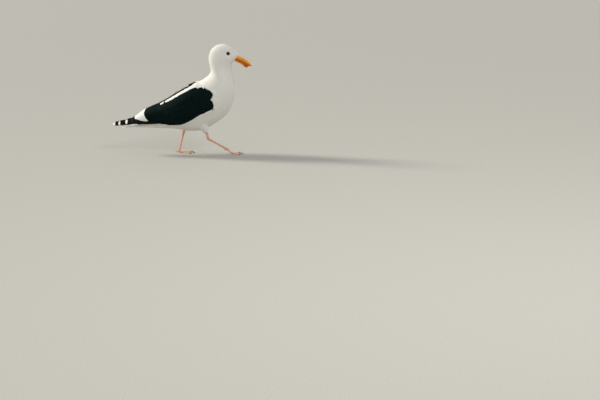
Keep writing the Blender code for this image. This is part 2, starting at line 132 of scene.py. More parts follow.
class Graph:
    """A material's nodes, all added by one method."""

    MIX_FACTOR, MIX_A, MIX_B, MIX_RESULT = 0, 6, 7, 2

    def __init__(self, name: str) -> None:
        """Makes the material and keeps its Principled shader."""
        self.material = bpy.data.materials.new(name)
        self.material.use_nodes = True
        self.tree = self.material.node_tree
        self.shader = self.tree.nodes["Principled BSDF"]

    def node(self, kind: str, settings: dict | None = None, sockets: dict | None = None) -> Node:
        """Adds a node.

        Args:
            kind: the node's type without its ShaderNode prefix.
            settings: its properties, set first.
            sockets: values or links, by socket name or number.

        Returns:
            The new node.
        """
        made = self.tree.nodes.new("ShaderNode" + kind)
        for key, setting in (settings or {}).items():
            setattr(made, key, setting)
        for key, value in (sockets or {}).items():
            self.feed(made.inputs[key], value)
        return made

    def feed(self, socket: NodeSocket, value: object) -> None:
        """Links a value or another socket to a socket, or sets its own number or colour.

        Args:
            socket: the socket that is fed.
            value: a Value, a socket, a number or a colour.
        """
        if isinstance(value, Value):
            value = value.socket
        if isinstance(value, NodeSocket):
            self.tree.links.new(value, socket)
        elif isinstance(value, tuple) and socket.type == "RGBA":
            socket.default_value = (*value, 1.0)
        else:
            socket.default_value = value

    def maths(self, operation: str, *terms: "Value | float") -> Value:
        """A Math node on one or two terms."""
        return Value(self, self.node("Math", {"operation": operation}, dict(enumerate(terms))).outputs[0])

    def vectors(self, operation: str, *terms: object) -> Node:
        """A Vector Math node on one or two terms."""
        return self.node("VectorMath", {"operation": operation}, dict(enumerate(terms)))

    def mix(self, factor: "Value | float", first: object, second: object, blend: str = "MIX") -> NodeSocket:
        """A colour between two colours, or the first one blended with the second in another way."""
        sockets = {self.MIX_FACTOR: factor, self.MIX_A: first, self.MIX_B: second}
        settings = {"data_type": "RGBA", "blend_type": blend}
        return self.node("Mix", settings, sockets).outputs[self.MIX_RESULT]

    def shaded(self, colour: NodeSocket, shade: Value) -> NodeSocket:
        """A colour times a grey."""
        grey = self.node("CombineColor", None, {0: shade, 1: shade, 2: shade}).outputs[0]
        return self.mix(1.0, colour, grey, "MULTIPLY")

    def attribute(self, name: str) -> Value:
        """The piece's own named number."""
        return Value(self, self.node("Attribute", {"attribute_name": name}).outputs["Fac"])

    def parts(self, vector: NodeSocket) -> list[Value]:
        """The three numbers of a vector."""
        return [Value(self, found) for found in self.node("SeparateXYZ", None, {0: vector}).outputs]

    def places(self, scale: Place = (1.0, 1.0, 1.0)) -> NodeSocket:
        """Object coordinates, stretched by scale."""
        return self.vectors("MULTIPLY", self.node("TexCoord").outputs["Object"], scale).outputs[0]

    def away(self, start: Place) -> NodeSocket:
        """Object coordinates, counted from start."""
        return self.vectors("SUBTRACT", self.node("TexCoord").outputs["Object"], start).outputs[0]

    def along(self, start: Place, way: Place | Vector) -> Value:
        """How far a place is from start, in metres, in a given direction."""
        found = self.vectors("DOT_PRODUCT", self.away(start), tuple(Vector(way).normalized()))
        return Value(self, found.outputs["Value"])

    def beside(self, start: Place, way: Place) -> Value:
        """How far a place is, in metres, from the line through start in a given direction."""
        length = Value(self, self.vectors("LENGTH", self.away(start)).outputs["Value"])
        run = self.along(start, way)
        return (length * length - run * run) ** 0.5

    def noise(self, scale: float, detail: float, vector: NodeSocket) -> Value:
        """Soft random numbers round 0.5."""
        made = self.node("TexNoise", None, {"Vector": vector, "Scale": scale, "Detail": detail})
        return Value(self, made.outputs[0])

    def pebbles(self, scale: float, vector: NodeSocket) -> Value:
        """How far a place is inside the edge of its cell, in a pattern of small round cells."""
        settings = {"feature": "DISTANCE_TO_EDGE"}
        made = self.node("TexVoronoi", settings, {"Vector": vector, "Scale": scale})
        return Value(self, made.outputs["Distance"])

    def bump(self, height: Value, strength: float, distance: float) -> NodeSocket:
        """A normal that follows a height."""
        sockets = {"Height": height, "Strength": strength, "Distance": distance}
        return self.node("Bump", None, sockets).outputs["Normal"]


@dataclass(frozen=True)
class Finish:
    """A finish: its name, and what it feeds to the Principled shader."""

    name: str

    def sockets(self, graph: Graph) -> Sockets:
        """What each of the shader's sockets gets, from nodes added to a graph."""
        raise NotImplementedError

    def material(self) -> Material:
        """Builds the finish."""
        graph = Graph(self.name)
        for key, value in self.sockets(graph).items():
            graph.feed(graph.shader.inputs[key], value)
        return graph.material


@dataclass(frozen=True)
class Plumage(Finish):
    """Feather vanes: barbs that lean off a quill, a tint of their own and, on some, a white end.

    The piece's map Vane holds, in centimetres, how far a place is off the quill and from the root, and the
    widths here are in centimetres too.
    """

    body: Colour
    fringe: Colour
    roughness: float
    barb_width: float = 0.045
    barb_lean: float = 0.75
    barb_shade: float = 0.10
    barb_spread: float = 9.0
    quill_edge: Pair = (0.01, 0.035)
    white: Colour = (0.85, 0.835, 0.765)
    white_edge: Pair = (-0.03, 0.05)
    white_bend: float = 0.35
    sheen: float = 0.0
    relief: float = 0.35
    gloss: float = 0.3
    glow: float = 0.0

    def sockets(self, graph: Graph) -> Sockets:
        """Barbs are waves of run - lean * off, and white begins past white_from + bend * off squared."""
        off, run, _ = graph.parts(graph.node("UVMap", {"uv_map": "Vane"}).outputs["UV"])
        off = abs(off)
        tint = graph.attribute("tint")
        passed = (run - self.barb_lean * off) * (2 * math.pi / self.barb_width)
        barbs = (passed + tint * self.barb_spread).wave()
        soft = graph.noise(9.0, 3.0, graph.places((30.0, 30.0, 30.0)))
        colour = graph.mix((tint * 0.8 + soft * 0.4).clamped(), self.body, self.fringe)
        lined = graph.shaded(colour, (1.0 - barbs * self.barb_shade) * (0.94 + soft * 0.12))
        beyond = run - graph.attribute("white_from") - off * off * self.white_bend + (soft - 0.5) * 0.08
        quill = 1.0 - off.step(*self.quill_edge)
        return {
            "Base Color": graph.mix(beyond.step(*self.white_edge), lined, self.white),
            "Roughness": self.roughness + (soft - 0.5) * 0.2,
            "Normal": graph.bump(barbs * 0.5 + quill * 0.8 + soft * 0.3, self.relief, 0.12 * MM),
            "Sheen Weight": self.sheen,
            "Sheen Roughness": 0.4,
            "Specular IOR Level": self.gloss,
            "Subsurface Weight": self.glow,
            "Subsurface Radius": (0.003, 0.0028, 0.0025),
        }


@dataclass(frozen=True)
class Down(Finish):
    """The skin under the coat: short down, white on the body and slate under the wings and mantle."""

    white: Colour
    slate: Colour

    def sockets(self, graph: Graph) -> Sockets:
        """Fine tufts, slate where the piece's mark says so, with an edge that wanders a little."""
        tufts = graph.noise(900.0, 4.0, graph.places())
        drift = graph.noise(60.0, 2.0, graph.places())
        dark = (graph.attribute("slate") + (drift - 0.5) * 0.2).step(0.4, 0.6)
        return {
            "Base Color": graph.shaded(graph.mix(dark, self.white, self.slate), 0.82 + tufts * 0.3),
            "Roughness": 0.8 + tufts * 0.15,
            "Normal": graph.bump(tufts, 0.6, 0.4 * MM),
        }


@dataclass(frozen=True)
class Horn(Finish):
    """The bill's horn: yellow to orange, a red spot on the lower half, a painted highlight along the ridge,
    and painted shade in the nostril and along the cutting edge.
    """

    base: Colour
    tip: Colour
    spot: Colour
    start: Place
    end: Place
    spot_at: Place
    spot_size: Pair
    nostril_at: Place | None = None
    nostril_size: Pair = (1.0, 1.0)
    wear_and_highlight: float = 0.0
    # Painted shade in the nostril's hollow.
    hollow: Colour = (0.05, 0.022, 0.01)
    streak: Colour = (0.52, 0.20, 0.03)
    # Painted highlight: a lighter colour along the top of the ridge.
    ridge: Colour = (0.86, 0.50, 0.22)
    # Painted shade along the cutting edge, where the two halves meet.
    edge: Colour = (0.30, 0.085, 0.012)

    def ellipse(self, graph: Graph, centre: Place, size: Pair) -> Value:
        """How far out a place is from an ellipse that lies along the bill, 1 at its edge.

        Args:
            graph: the material's graph.
            centre: the ellipse's middle.
            size: its half length along the bill and half height across it.

        Returns:
            The share of the way from the middle to the edge.
        """
        way = (Vector(self.end) - Vector(self.start)).normalized()
        run = graph.along(centre, way) / size[0]
        rise = graph.along(centre, Vector((-way.z, 0.0, way.x))) / size[1]
        return (run * run + rise * rise) ** 0.5

    def sockets(self, graph: Graph) -> Sockets:
        """Base to tip along the bill; then spot, painted nostril shade, streaks, painted ridge highlight and
        painted cutting-edge shade over it.
        """
        way = Vector(self.end) - Vector(self.start)
        run = graph.along(self.start, way) / way.length
        cloud = graph.noise(140.0, 3.0, graph.places())
        fine = graph.noise(1.0, 4.0, graph.places((500.0, 900.0, 1500.0)))
        colour = graph.mix((run + (cloud - 0.5) * 0.35).step(0.45, 1.05), self.base, self.tip)
        near_spot = self.ellipse(graph, self.spot_at, self.spot_size) + (cloud - 0.5) * 0.5
        layers = [(1.0 - near_spot.step(0.72, 1.15), self.spot)]
        if self.nostril_at:
            # Painted shade in the nostril's hollow.
            near_nostril = self.ellipse(graph, self.nostril_at, self.nostril_size)
            layers.append((1.0 - near_nostril.step(0.6, 1.0), self.hollow))
        rise = graph.attribute("rise")
        layers.append(((fine - 0.45).step(0.0, 0.35) * 0.25, self.streak))
        # Painted highlight along the top of the ridge.
        layers.append((rise.step(0.82, 1.0) * self.wear_and_highlight, self.ridge))
        # Painted shade along the cutting edge, where the two halves meet.
        layers.append(((1.0 - rise.step(0.30, 0.62)) * 0.75, self.edge))
        for share, shade in layers:
            colour = graph.mix(share, colour, shade)
        return {
            "Base Color": colour,
            "Roughness": 0.34 + fine * 0.16,
            "Normal": graph.bump(fine * 0.6 + cloud, 0.25, 0.3 * MM),
            "Specular IOR Level": 0.25,
        }


@dataclass(frozen=True)
class LegSkin(Finish):
    """Bare leg: broad scutes down the front of the shin and small round scales elsewhere, with painted shade
    in the creases between them.
    """

    colour: Colour
    # The darker colour, for the skin's cloudy tone and for painted shade in its creases.
    deep: Colour
    start: Place
    end: Place
    scute: float = 2.6 * MM

    def sockets(self, graph: Graph) -> Sockets:
        """Painted shade in the creases between round scales, and on the shin's front between scutes, deepens
        the colour.
        """
        way = Vector(self.end) - Vector(self.start)
        run = graph.along(self.start, way)
        front = graph.along(self.start, Vector((way.z, 0.0, -way.x))).step(0.0, 2.2 * MM)
        on_shin = run.step(-6 * MM, 0.0) * (1.0 - run.step(way.length - 4 * MM, way.length + 2 * MM))
        grooves = (run * (2 * math.pi / self.scute)).wave().step(0.86, 1.0) * front * on_shin
        creases = 1.0 - graph.pebbles(780.0, graph.places()).step(0.0, 0.12)
        lines = creases * (1.0 - front * on_shin * 0.8) + grooves
        cloud = graph.noise(90.0, 3.0, graph.places())
        return {
            # The cloudy tone, darkened by painted shade in the creases and grooves.
            "Base Color": graph.mix((cloud * 0.9 + lines * 0.35 - 0.15).clamped(), self.colour, self.deep),
            "Roughness": 0.5 + cloud * 0.15,
            "Normal": graph.bump(1.0 - lines.clamped(), 0.5, 0.25 * MM),
            "Subsurface Weight": 0.08,
            "Subsurface Radius": (0.004, 0.0015, 0.0008),
        }


@dataclass(frozen=True)
class ClawHorn(Finish):
    """Dark claw horn with fine worn lines along it."""

    colour: Colour
    # On the claws this colour is only that of worn streaks.
    wear_and_highlight: Colour

    def sockets(self, graph: Graph) -> Sockets:
        """The worn colour follows long thin streaks."""
        fine = graph.noise(1.0, 4.0, graph.places((300.0, 1600.0, 1600.0)))
        return {
            "Base Color": graph.mix(fine.step(0.4, 0.75), self.colour, self.wear_and_highlight),
            "Roughness": 0.3 + fine * 0.2,
            "Normal": graph.bump(fine, 0.3, 0.1 * MM),
        }


@dataclass(frozen=True)
class EyeGlass(Finish):
    """An eyeball: black pupil, dark brown iris with streaks, dull white beyond, all under a wet coat."""

    middle: Place
    outward: Place
    pupil: float
    iris: float
    pupil_colour: Colour = (0.002, 0.002, 0.002)
    iris_colours: tuple[Colour, Colour] = ((0.010, 0.005, 0.002), (0.030, 0.015, 0.006))
    iris_rim: Colour = (0.008, 0.005, 0.004)
    white: Colour = (0.10, 0.06, 0.05)

    def sockets(self, graph: Graph) -> Sockets:
        """Rings of colour round the line that the eye looks along."""
        off = graph.beside(self.middle, self.outward)
        streaks = graph.noise(700.0, 4.0, graph.places())
        iris = graph.mix(streaks, *self.iris_colours)
        rimmed = graph.mix(off.step(self.iris * 0.82, self.iris), iris, self.iris_rim)
        inner = graph.mix(off.step(self.pupil, self.pupil * 1.12), self.pupil_colour, rimmed)
        return {
            "Base Color": graph.mix(off.step(self.iris, self.iris * 1.1), inner, self.white),
            "Roughness": 0.18 + streaks * 0.1,
            "Coat Weight": 0.4,
            "Coat Roughness": 0.02,
            "Specular IOR Level": 0.1,
        }


@dataclass(frozen=True)
class LidSkin(Finish):
    """Bare skin round the eye: dull yellow, finely wrinkled, and white down beyond its rim."""

    colour: Colour
    deep: Colour
    middle: Place
    outward: Place
    bare: float
    down: Colour = WHITE_DOWN

    def sockets(self, graph: Graph) -> Sockets:
        """Skin within the bare distance of the line that the eye looks along, down beyond it."""
        folds = graph.noise(1600.0, 3.0, graph.places())
        off = graph.beside(self.middle, self.outward) + folds * (0.6 * MM)
        skin = graph.mix(folds.step(0.35, 0.7), self.colour, self.deep)
        return {
            "Base Color": graph.mix(off.step(self.bare, self.bare * 1.06), skin, self.down),
            "Roughness": 0.45 + folds * 0.2,
            "Normal": graph.bump(folds, 0.5, 0.2 * MM),
        }


@dataclass(frozen=True)
class FloorFinish(Finish):
    """A plain pale floor with a faint grain."""

    colour: Colour
    grain: Colour

    def sockets(self, graph: Graph) -> Sockets:
        """A soft speckle between the two colours."""
        speckle = graph.noise(260.0, 4.0, graph.places())
        return {
            "Base Color": graph.mix(speckle.step(0.3, 0.8), self.colour, self.grain),
            "Roughness": 0.9,
            "Normal": graph.bump(speckle, 0.1, 0.4 * MM),
        }


# ---- mesh making


def travelled(points: Array, axis: int = 0) -> Array:
    """How far each point of a line is from its start, along it.

    Args:
        points: the line's points in their last axis.
        axis: the axis that the line follows.

    Returns:
        The distances.
    """
    steps = np.linalg.norm(np.diff(points, axis=axis), axis=-1)
    return np.insert(np.cumsum(steps, axis=axis), 0, 0.0, axis=axis)


def spline(rows: Array, count: int) -> Array:
    """A smooth curve through rows of numbers: cubic pieces whose slopes at each row are its neighbours'.

    Args:
        rows: (n, k) numbers to pass through; the spacing of places along it is their distance.
        count: how many evenly spaced places to read.

    Returns:
        (count, k) numbers.
    """
    rows = np.asarray(rows, float)
    knots = travelled(rows)
    slopes = np.gradient(rows, knots, axis=0)
    at = np.linspace(0.0, knots[-1], count)
    i = np.clip(np.searchsorted(knots, at, side="right") - 1, 0, len(rows) - 2)
    span = (knots[i + 1] - knots[i])[:, None]
    u = (at - knots[i])[:, None] / span
    start = (1 + 2 * u) * (1 - u) ** 2 * rows[i] + u * (1 - u) ** 2 * span * slopes[i]
    end = u * u * (3 - 2 * u) * rows[i + 1] + u * u * (u - 1) * span * slopes[i + 1]
    return start + end


def unit(vectors: Array) -> Array:
    """Vectors of length one."""
    return vectors / np.maximum(np.linalg.norm(vectors, axis=-1, keepdims=True), 1e-12)


def smooth_step(values: Array, low: float, high: float) -> Array:
    """0 below low, 1 above high, and smooth between."""
    share = np.clip((values - low) / (high - low), 0.0, 1.0)
    return share * share * (3 - 2 * share)


def mesh_of(name: str, points: Array, polygons: list[Array]) -> Mesh:
    """A smooth mesh from arrays.

    Args:
        name: the mesh's name.
        points: (n, 3) places in metres.
        polygons: arrays of vertex numbers, one row a face, all rows of one array alike in length.

    Returns:
        The mesh.
    """
    mesh = bpy.data.meshes.new(name)
    corners = np.concatenate([faces.ravel() for faces in polygons]).astype(np.int32)
    sizes = np.concatenate([np.full(len(faces), faces.shape[1]) for faces in polygons])
    starts = np.concatenate([[0], np.cumsum(sizes)[:-1]]).astype(np.int32)
    mesh.vertices.add(len(points))
    mesh.vertices.foreach_set("co", np.ascontiguousarray(points, np.float32).ravel())
    mesh.loops.add(len(corners))
    mesh.loops.foreach_set("vertex_index", corners)
    mesh.polygons.add(len(sizes))
    mesh.polygons.foreach_set("loop_start", starts)
    mesh.update(calc_edges=True)
    mesh.shade_smooth()
    return mesh


def shown(name: str, data: bpy.types.ID) -> Object:
    """A new object in the scene that holds a mesh, a lamp or a camera."""
    found = bpy.data.objects.new(name, data)
    bpy.context.scene.collection.objects.link(found)
    return found


def piece(mesh: Mesh, finish: Material, slot: Slot, *nodes: str) -> None:
    """Puts a finished mesh in the scene as a piece of the same name that rides on the body.

    Args:
        mesh: the mesh, in place.
        finish: its material.
        slot: not used.
        nodes: the CAD nodes that it stands for.
    """
    made = shown(mesh.name, mesh)
    mesh.materials.clear()
    mesh.materials.append(finish)
    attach(made, "root")
    if nodes:
        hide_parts(*nodes)
    log.info("%s: %d faces", mesh.name, len(mesh.polygons))


def ring_faces(rings: int, around: int, flip: bool = False, looped: bool = False) -> list[Array]:
    """Faces of a closed form made of rings of points.

    Args:
        rings: how many rings.
        around: points in each.
        flip: whether the faces turn the other way.
        looped: whether the last ring joins the first one, and not each end a face of its own.

    Returns:
        The side faces, and the two end faces where there are any.
    """
    j, k = np.meshgrid(np.arange(rings - (not looped)), np.arange(around), indexing="ij")
    here, there, after = j * around, (j + 1) % rings * around, (k + 1) % around
    faces = [np.stack([here + k, here + after, there + after, there + k], axis=-1).reshape(-1, 4)]
    if not looped:
        faces.append(np.stack([np.arange(around)[::-1], np.arange(around) + (rings - 1) * around]))
    return [group[:, ::-1] for group in faces] if flip else faces


def volume_of(points: Array, polygons: list[Array]) -> float:
    """The signed volume inside closed faces: below 0 where they point inwards.

    Args:
        points: (n, 3) places.
        polygons: arrays of vertex numbers, one row a face.

    Returns:
        The sum over triangles of first . (second x third) / 6.
    """
    total = 0.0
    for faces in polygons:
        first = points[faces[:, 0]]
        for k in range(1, faces.shape[1] - 1):
            total += np.einsum("ij,ij->", first, np.cross(points[faces[:, k]], points[faces[:, k + 1]]))
    return total / 6


def form_of(rings: Array, looped: bool = False) -> Form:
    """Points and outward faces of a closed form made of (rings, around, 3) points."""
    points = rings.reshape(-1, 3)
    faces = ring_faces(*rings.shape[:2], looped=looped)
    if volume_of(points, faces) < 0:
        faces = ring_faces(*rings.shape[:2], True, looped)
    return points, faces


def joined(forms: list[Form]) -> Form:
    """Several forms as one set of points and faces."""
    starts = np.cumsum([0] + [len(points) for points, _ in forms])
    faces = [found + start for (_, group), start in zip(forms, starts) for found in group]
    return np.concatenate([points for points, _ in forms]), faces


def fused(name: str, forms: list[Form], voxel: float, smoothing: int) -> Mesh:
    """Closed forms that overlap, made one seamless surface.

    Args:
        name: the mesh's name.
        forms: the closed forms.
        voxel: the size of the cubes they are merged on.
        smoothing: rounds of smoothing after that.

    Returns:
        The merged mesh.
    """
    rough = shown(name + "_rough", mesh_of(name + "_rough", *joined(forms)))
    remesh = rough.modifiers.new("merge", "REMESH")
    remesh.mode = "VOXEL"
    remesh.voxel_size = voxel
    smooth = rough.modifiers.new("smooth", "SMOOTH")
    smooth.factor = 0.5
    smooth.iterations = smoothing
    graph = bpy.context.evaluated_depsgraph_get()
    mesh = bpy.data.meshes.new_from_object(rough.evaluated_get(graph))
    mesh.name = name
    bpy.data.objects.remove(rough)
    mesh.shade_smooth()
    return mesh


def points_of(mesh: Mesh) -> Array:
    """A mesh's vertices as (n, 3) numbers."""
    found = np.empty(len(mesh.vertices) * 3, np.float32)
    mesh.vertices.foreach_get("co", found)
    return found.reshape(-1, 3).astype(float)


def mark(mesh: Mesh, name: str, values: Array) -> None:
    """Stores one number for each vertex under a name."""
    mesh.attributes.new(name, "FLOAT", "POINT").data.foreach_set("value", values.ravel().astype(np.float32))


def unwrap(mesh: Mesh, name: str, places: Array) -> None:
    """Stores a map under a name, from two numbers for each vertex."""
    corner = np.empty(len(mesh.loops), np.int32)
    mesh.loops.foreach_get("vertex_index", corner)
    flat = places.reshape(-1, 2)[corner].astype(np.float32)
    mesh.uv_layers.new(name=name).data.foreach_set("uv", flat.ravel())


def tube(path: Sequence, radii: Sequence, count: int, around: int, less: float = 0.0) -> Array:
    """Round slices square to a smooth path.

    Each slice is centre + radius (cos angle * beside + sin angle * above).

    Args:
        path: (n, 3) points to pass through.
        radii: the radius at each.
        count: how many slices.
        around: points in each slice.
        less: how much narrower every slice is made.

    Returns:
        (count, around, 3) points.
    """
    rows = spline(np.column_stack([path, radii]), count)
    centres, sizes = rows[:, :3], rows[:, 3:4, None] - less
    ahead = unit(np.gradient(centres, axis=0))
    above = unit(np.cross(ahead, [0.0, 1.0, 0.0]))
    beside = np.cross(above, ahead)
    angle = np.linspace(0.0, 2 * math.pi, around, endpoint=False)[None, :, None]
    return centres[:, None] + sizes * (np.cos(angle) * beside[:, None] + np.sin(angle) * above[:, None])


# ---- surfaces and vanes


@dataclass
class Sheet:
    """A smooth surface held as a grid of points: rows follow the lie of the feathers, columns go round.

    Places on it are (run, round), each from 0 to 1. Past the last row or an open edge it goes on straight.
    """

    points: Array
    closed: bool
    outward_from: Array | None = None
    run: Array = field(init=False)
    turn: Array = field(init=False)
    normal: Array = field(init=False)

    def __post_init__(self) -> None:
        """Works out the two tangents and the normal at each point of the grid."""
        rows, columns = self.points.shape[:2]
        self.run = np.gradient(self.points, axis=0) * (rows - 1)
        if self.closed:
            wrapped = np.concatenate([self.points[:, -1:], self.points, self.points[:, :1]], axis=1)
            self.turn = (wrapped[:, 2:] - wrapped[:, :-2]) * (columns / 2)
        else:
            self.turn = np.gradient(self.points, axis=1) * (columns - 1)
        self.normal = unit(np.cross(self.run, self.turn))
        middles = self.points.mean(axis=1, keepdims=True) if self.outward_from is None else self.outward_from
        if np.einsum("ijk,ijk->", self.normal, self.points - middles) < 0:
            self.normal = -self.normal

    def read(self, values: Array, run: Array, turn: Array, beyond: bool = False) -> Array:
        """Values of the grid at places on it, straight between its points.

        Args:
            values: (rows, columns, k) numbers.
            run: places along the rows.
            turn: places round the columns.
            beyond: whether to go on straight past the grid's open edges.

        Returns:
            (..., k) numbers.
        """
        rows, columns = values.shape[:2]
        x = run * (rows - 1)
        i = np.clip(np.floor(x).astype(int), 0, rows - 2)
        y = turn * (columns if self.closed else columns - 1)
        j = np.floor(y).astype(int)
        if not self.closed:
            j = np.clip(j, 0, columns - 2)
        u, v = (x - i)[..., None], (y - j)[..., None]
        if not beyond:
            u, v = np.clip(u, 0.0, 1.0), np.clip(v, 0.0, 1.0)
        k = (j + 1) % columns
        j = j % columns
        near = values[i, j] * (1 - v) + values[i, k] * v
        far = values[i + 1, j] * (1 - v) + values[i + 1, k] * v
        return near * (1 - u) + far * u

    def at(self, run: Array, turn: Array, height: Array | float = 0.0) -> Array:
        """Points at places on the surface, raised by height."""
        lift = np.broadcast_to(np.asarray(height, float), run.shape)[..., None]
        return self.read(self.points, run, turn, beyond=True) + self.facing(run, turn) * lift

    def facing(self, run: Array, turn: Array) -> Array:
        """Outward normals at places on the surface."""
        return unit(self.read(self.normal, run, turn))

    def pace(self, run: Array, turn: Array) -> Array:
        """How many metres long the whole run would be, at the rate it has at places on the surface."""
        return np.linalg.norm(self.read(self.run, run, turn), axis=-1)

    def girth(self, run: Array, turn: Array) -> Array:
        """How many metres round the whole turn would be, at the rate it has at places on the surface."""
        return np.linalg.norm(self.read(self.turn, run, turn), axis=-1)

    def inset(self, depth: Array | float) -> Array:
        """The grid moved inwards by a depth for each row."""
        return self.points - self.normal * np.broadcast_to(depth, len(self.points))[:, None, None]


@dataclass(frozen=True)
class VaneShape:
    """A vane's outline and section: half widths along its length, and the points across its top."""

    stations: tuple[float, ...]
    widths: tuple[float, ...]
    across: tuple[float, ...]
    crown: float
    thickness: float
    settle: float = 2.2

    def ring(self) -> tuple[Array, Array]:
        """Where the section's points lie across, and which of them are on its under side."""
        top = np.array(self.across)
        under = top[-2:0:-1]
        return np.concatenate([top, under]), np.concatenate([np.zeros(len(top)), np.ones(len(under))])


COAT_VANE = VaneShape(
    (0.0, 0.4, 0.68, 0.87, 1.0), (0.5, 0.95, 1.0, 0.64, 0.08), (-1.0, 0.0, 1.0), 0.04, 0.04 * MM, 5.0,
)
COVERT_VANE = VaneShape(
    (0, 0.3, 0.55, 0.75, 0.88, 0.96, 1), (0.5, 0.85, 1, 0.97, 0.78, 0.46, 0.08),
    (-1.0, -0.5, 0.0, 0.5, 1.0), 0.07, 0.16 * MM,
)
LONG_VANE = VaneShape(
    (0, 0.15, 0.3, 0.45, 0.6, 0.72, 0.82, 0.9, 0.955, 0.985, 1),
    (0.35, 0.6, 0.8, 0.93, 1, 1, 0.98, 0.90, 0.72, 0.44, 0.06),
    (-1.0, -0.66, -0.33, 0.0, 0.33, 0.66, 1.0), 0.10, 0.30 * MM,
)
BLADE_VANE = VaneShape(
    (0, 0.15, 0.3, 0.45, 0.6, 0.74, 0.85, 0.92, 0.965, 0.99, 1),
    (0.22, 0.36, 0.50, 0.68, 0.88, 1, 1, 0.98, 0.86, 0.58, 0.16),
    (-1.0, -0.66, -0.33, 0.0, 0.33, 0.66, 1.0), 0.10, 0.30 * MM,
)


@dataclass
class Batch:
    """Arrays that hold one row for each vane."""

    def kept(self, keep: Array) -> Self:
        """Only the vanes marked in keep."""
        return type(self)(*(getattr(self, one.name)[keep] for one in fields(self)))

    @classmethod
    def merged(cls, groups: list[Self]) -> Self:
        """Several groups as one."""
        return cls(*(np.concatenate([getattr(group, one.name) for group in groups]) for one in fields(cls)))


@dataclass
class Roots(Batch):
    """Where vanes grow on a sheet, one number each: place, size, turn, and height at root and tip."""

    run: Array | float
    turn: Array
    length: Array
    half_width: Array | float
    low: Array
    high: Array
    tint: Array
    yaw: Array | float = 0.0
    white_from: Array | float = NEVER

    def __post_init__(self) -> None:
        """Gives each vane its own copy of a number that is the same for all."""
        for one in fields(self):
            setattr(self, one.name, np.broadcast_to(getattr(self, one.name), self.turn.shape).copy())


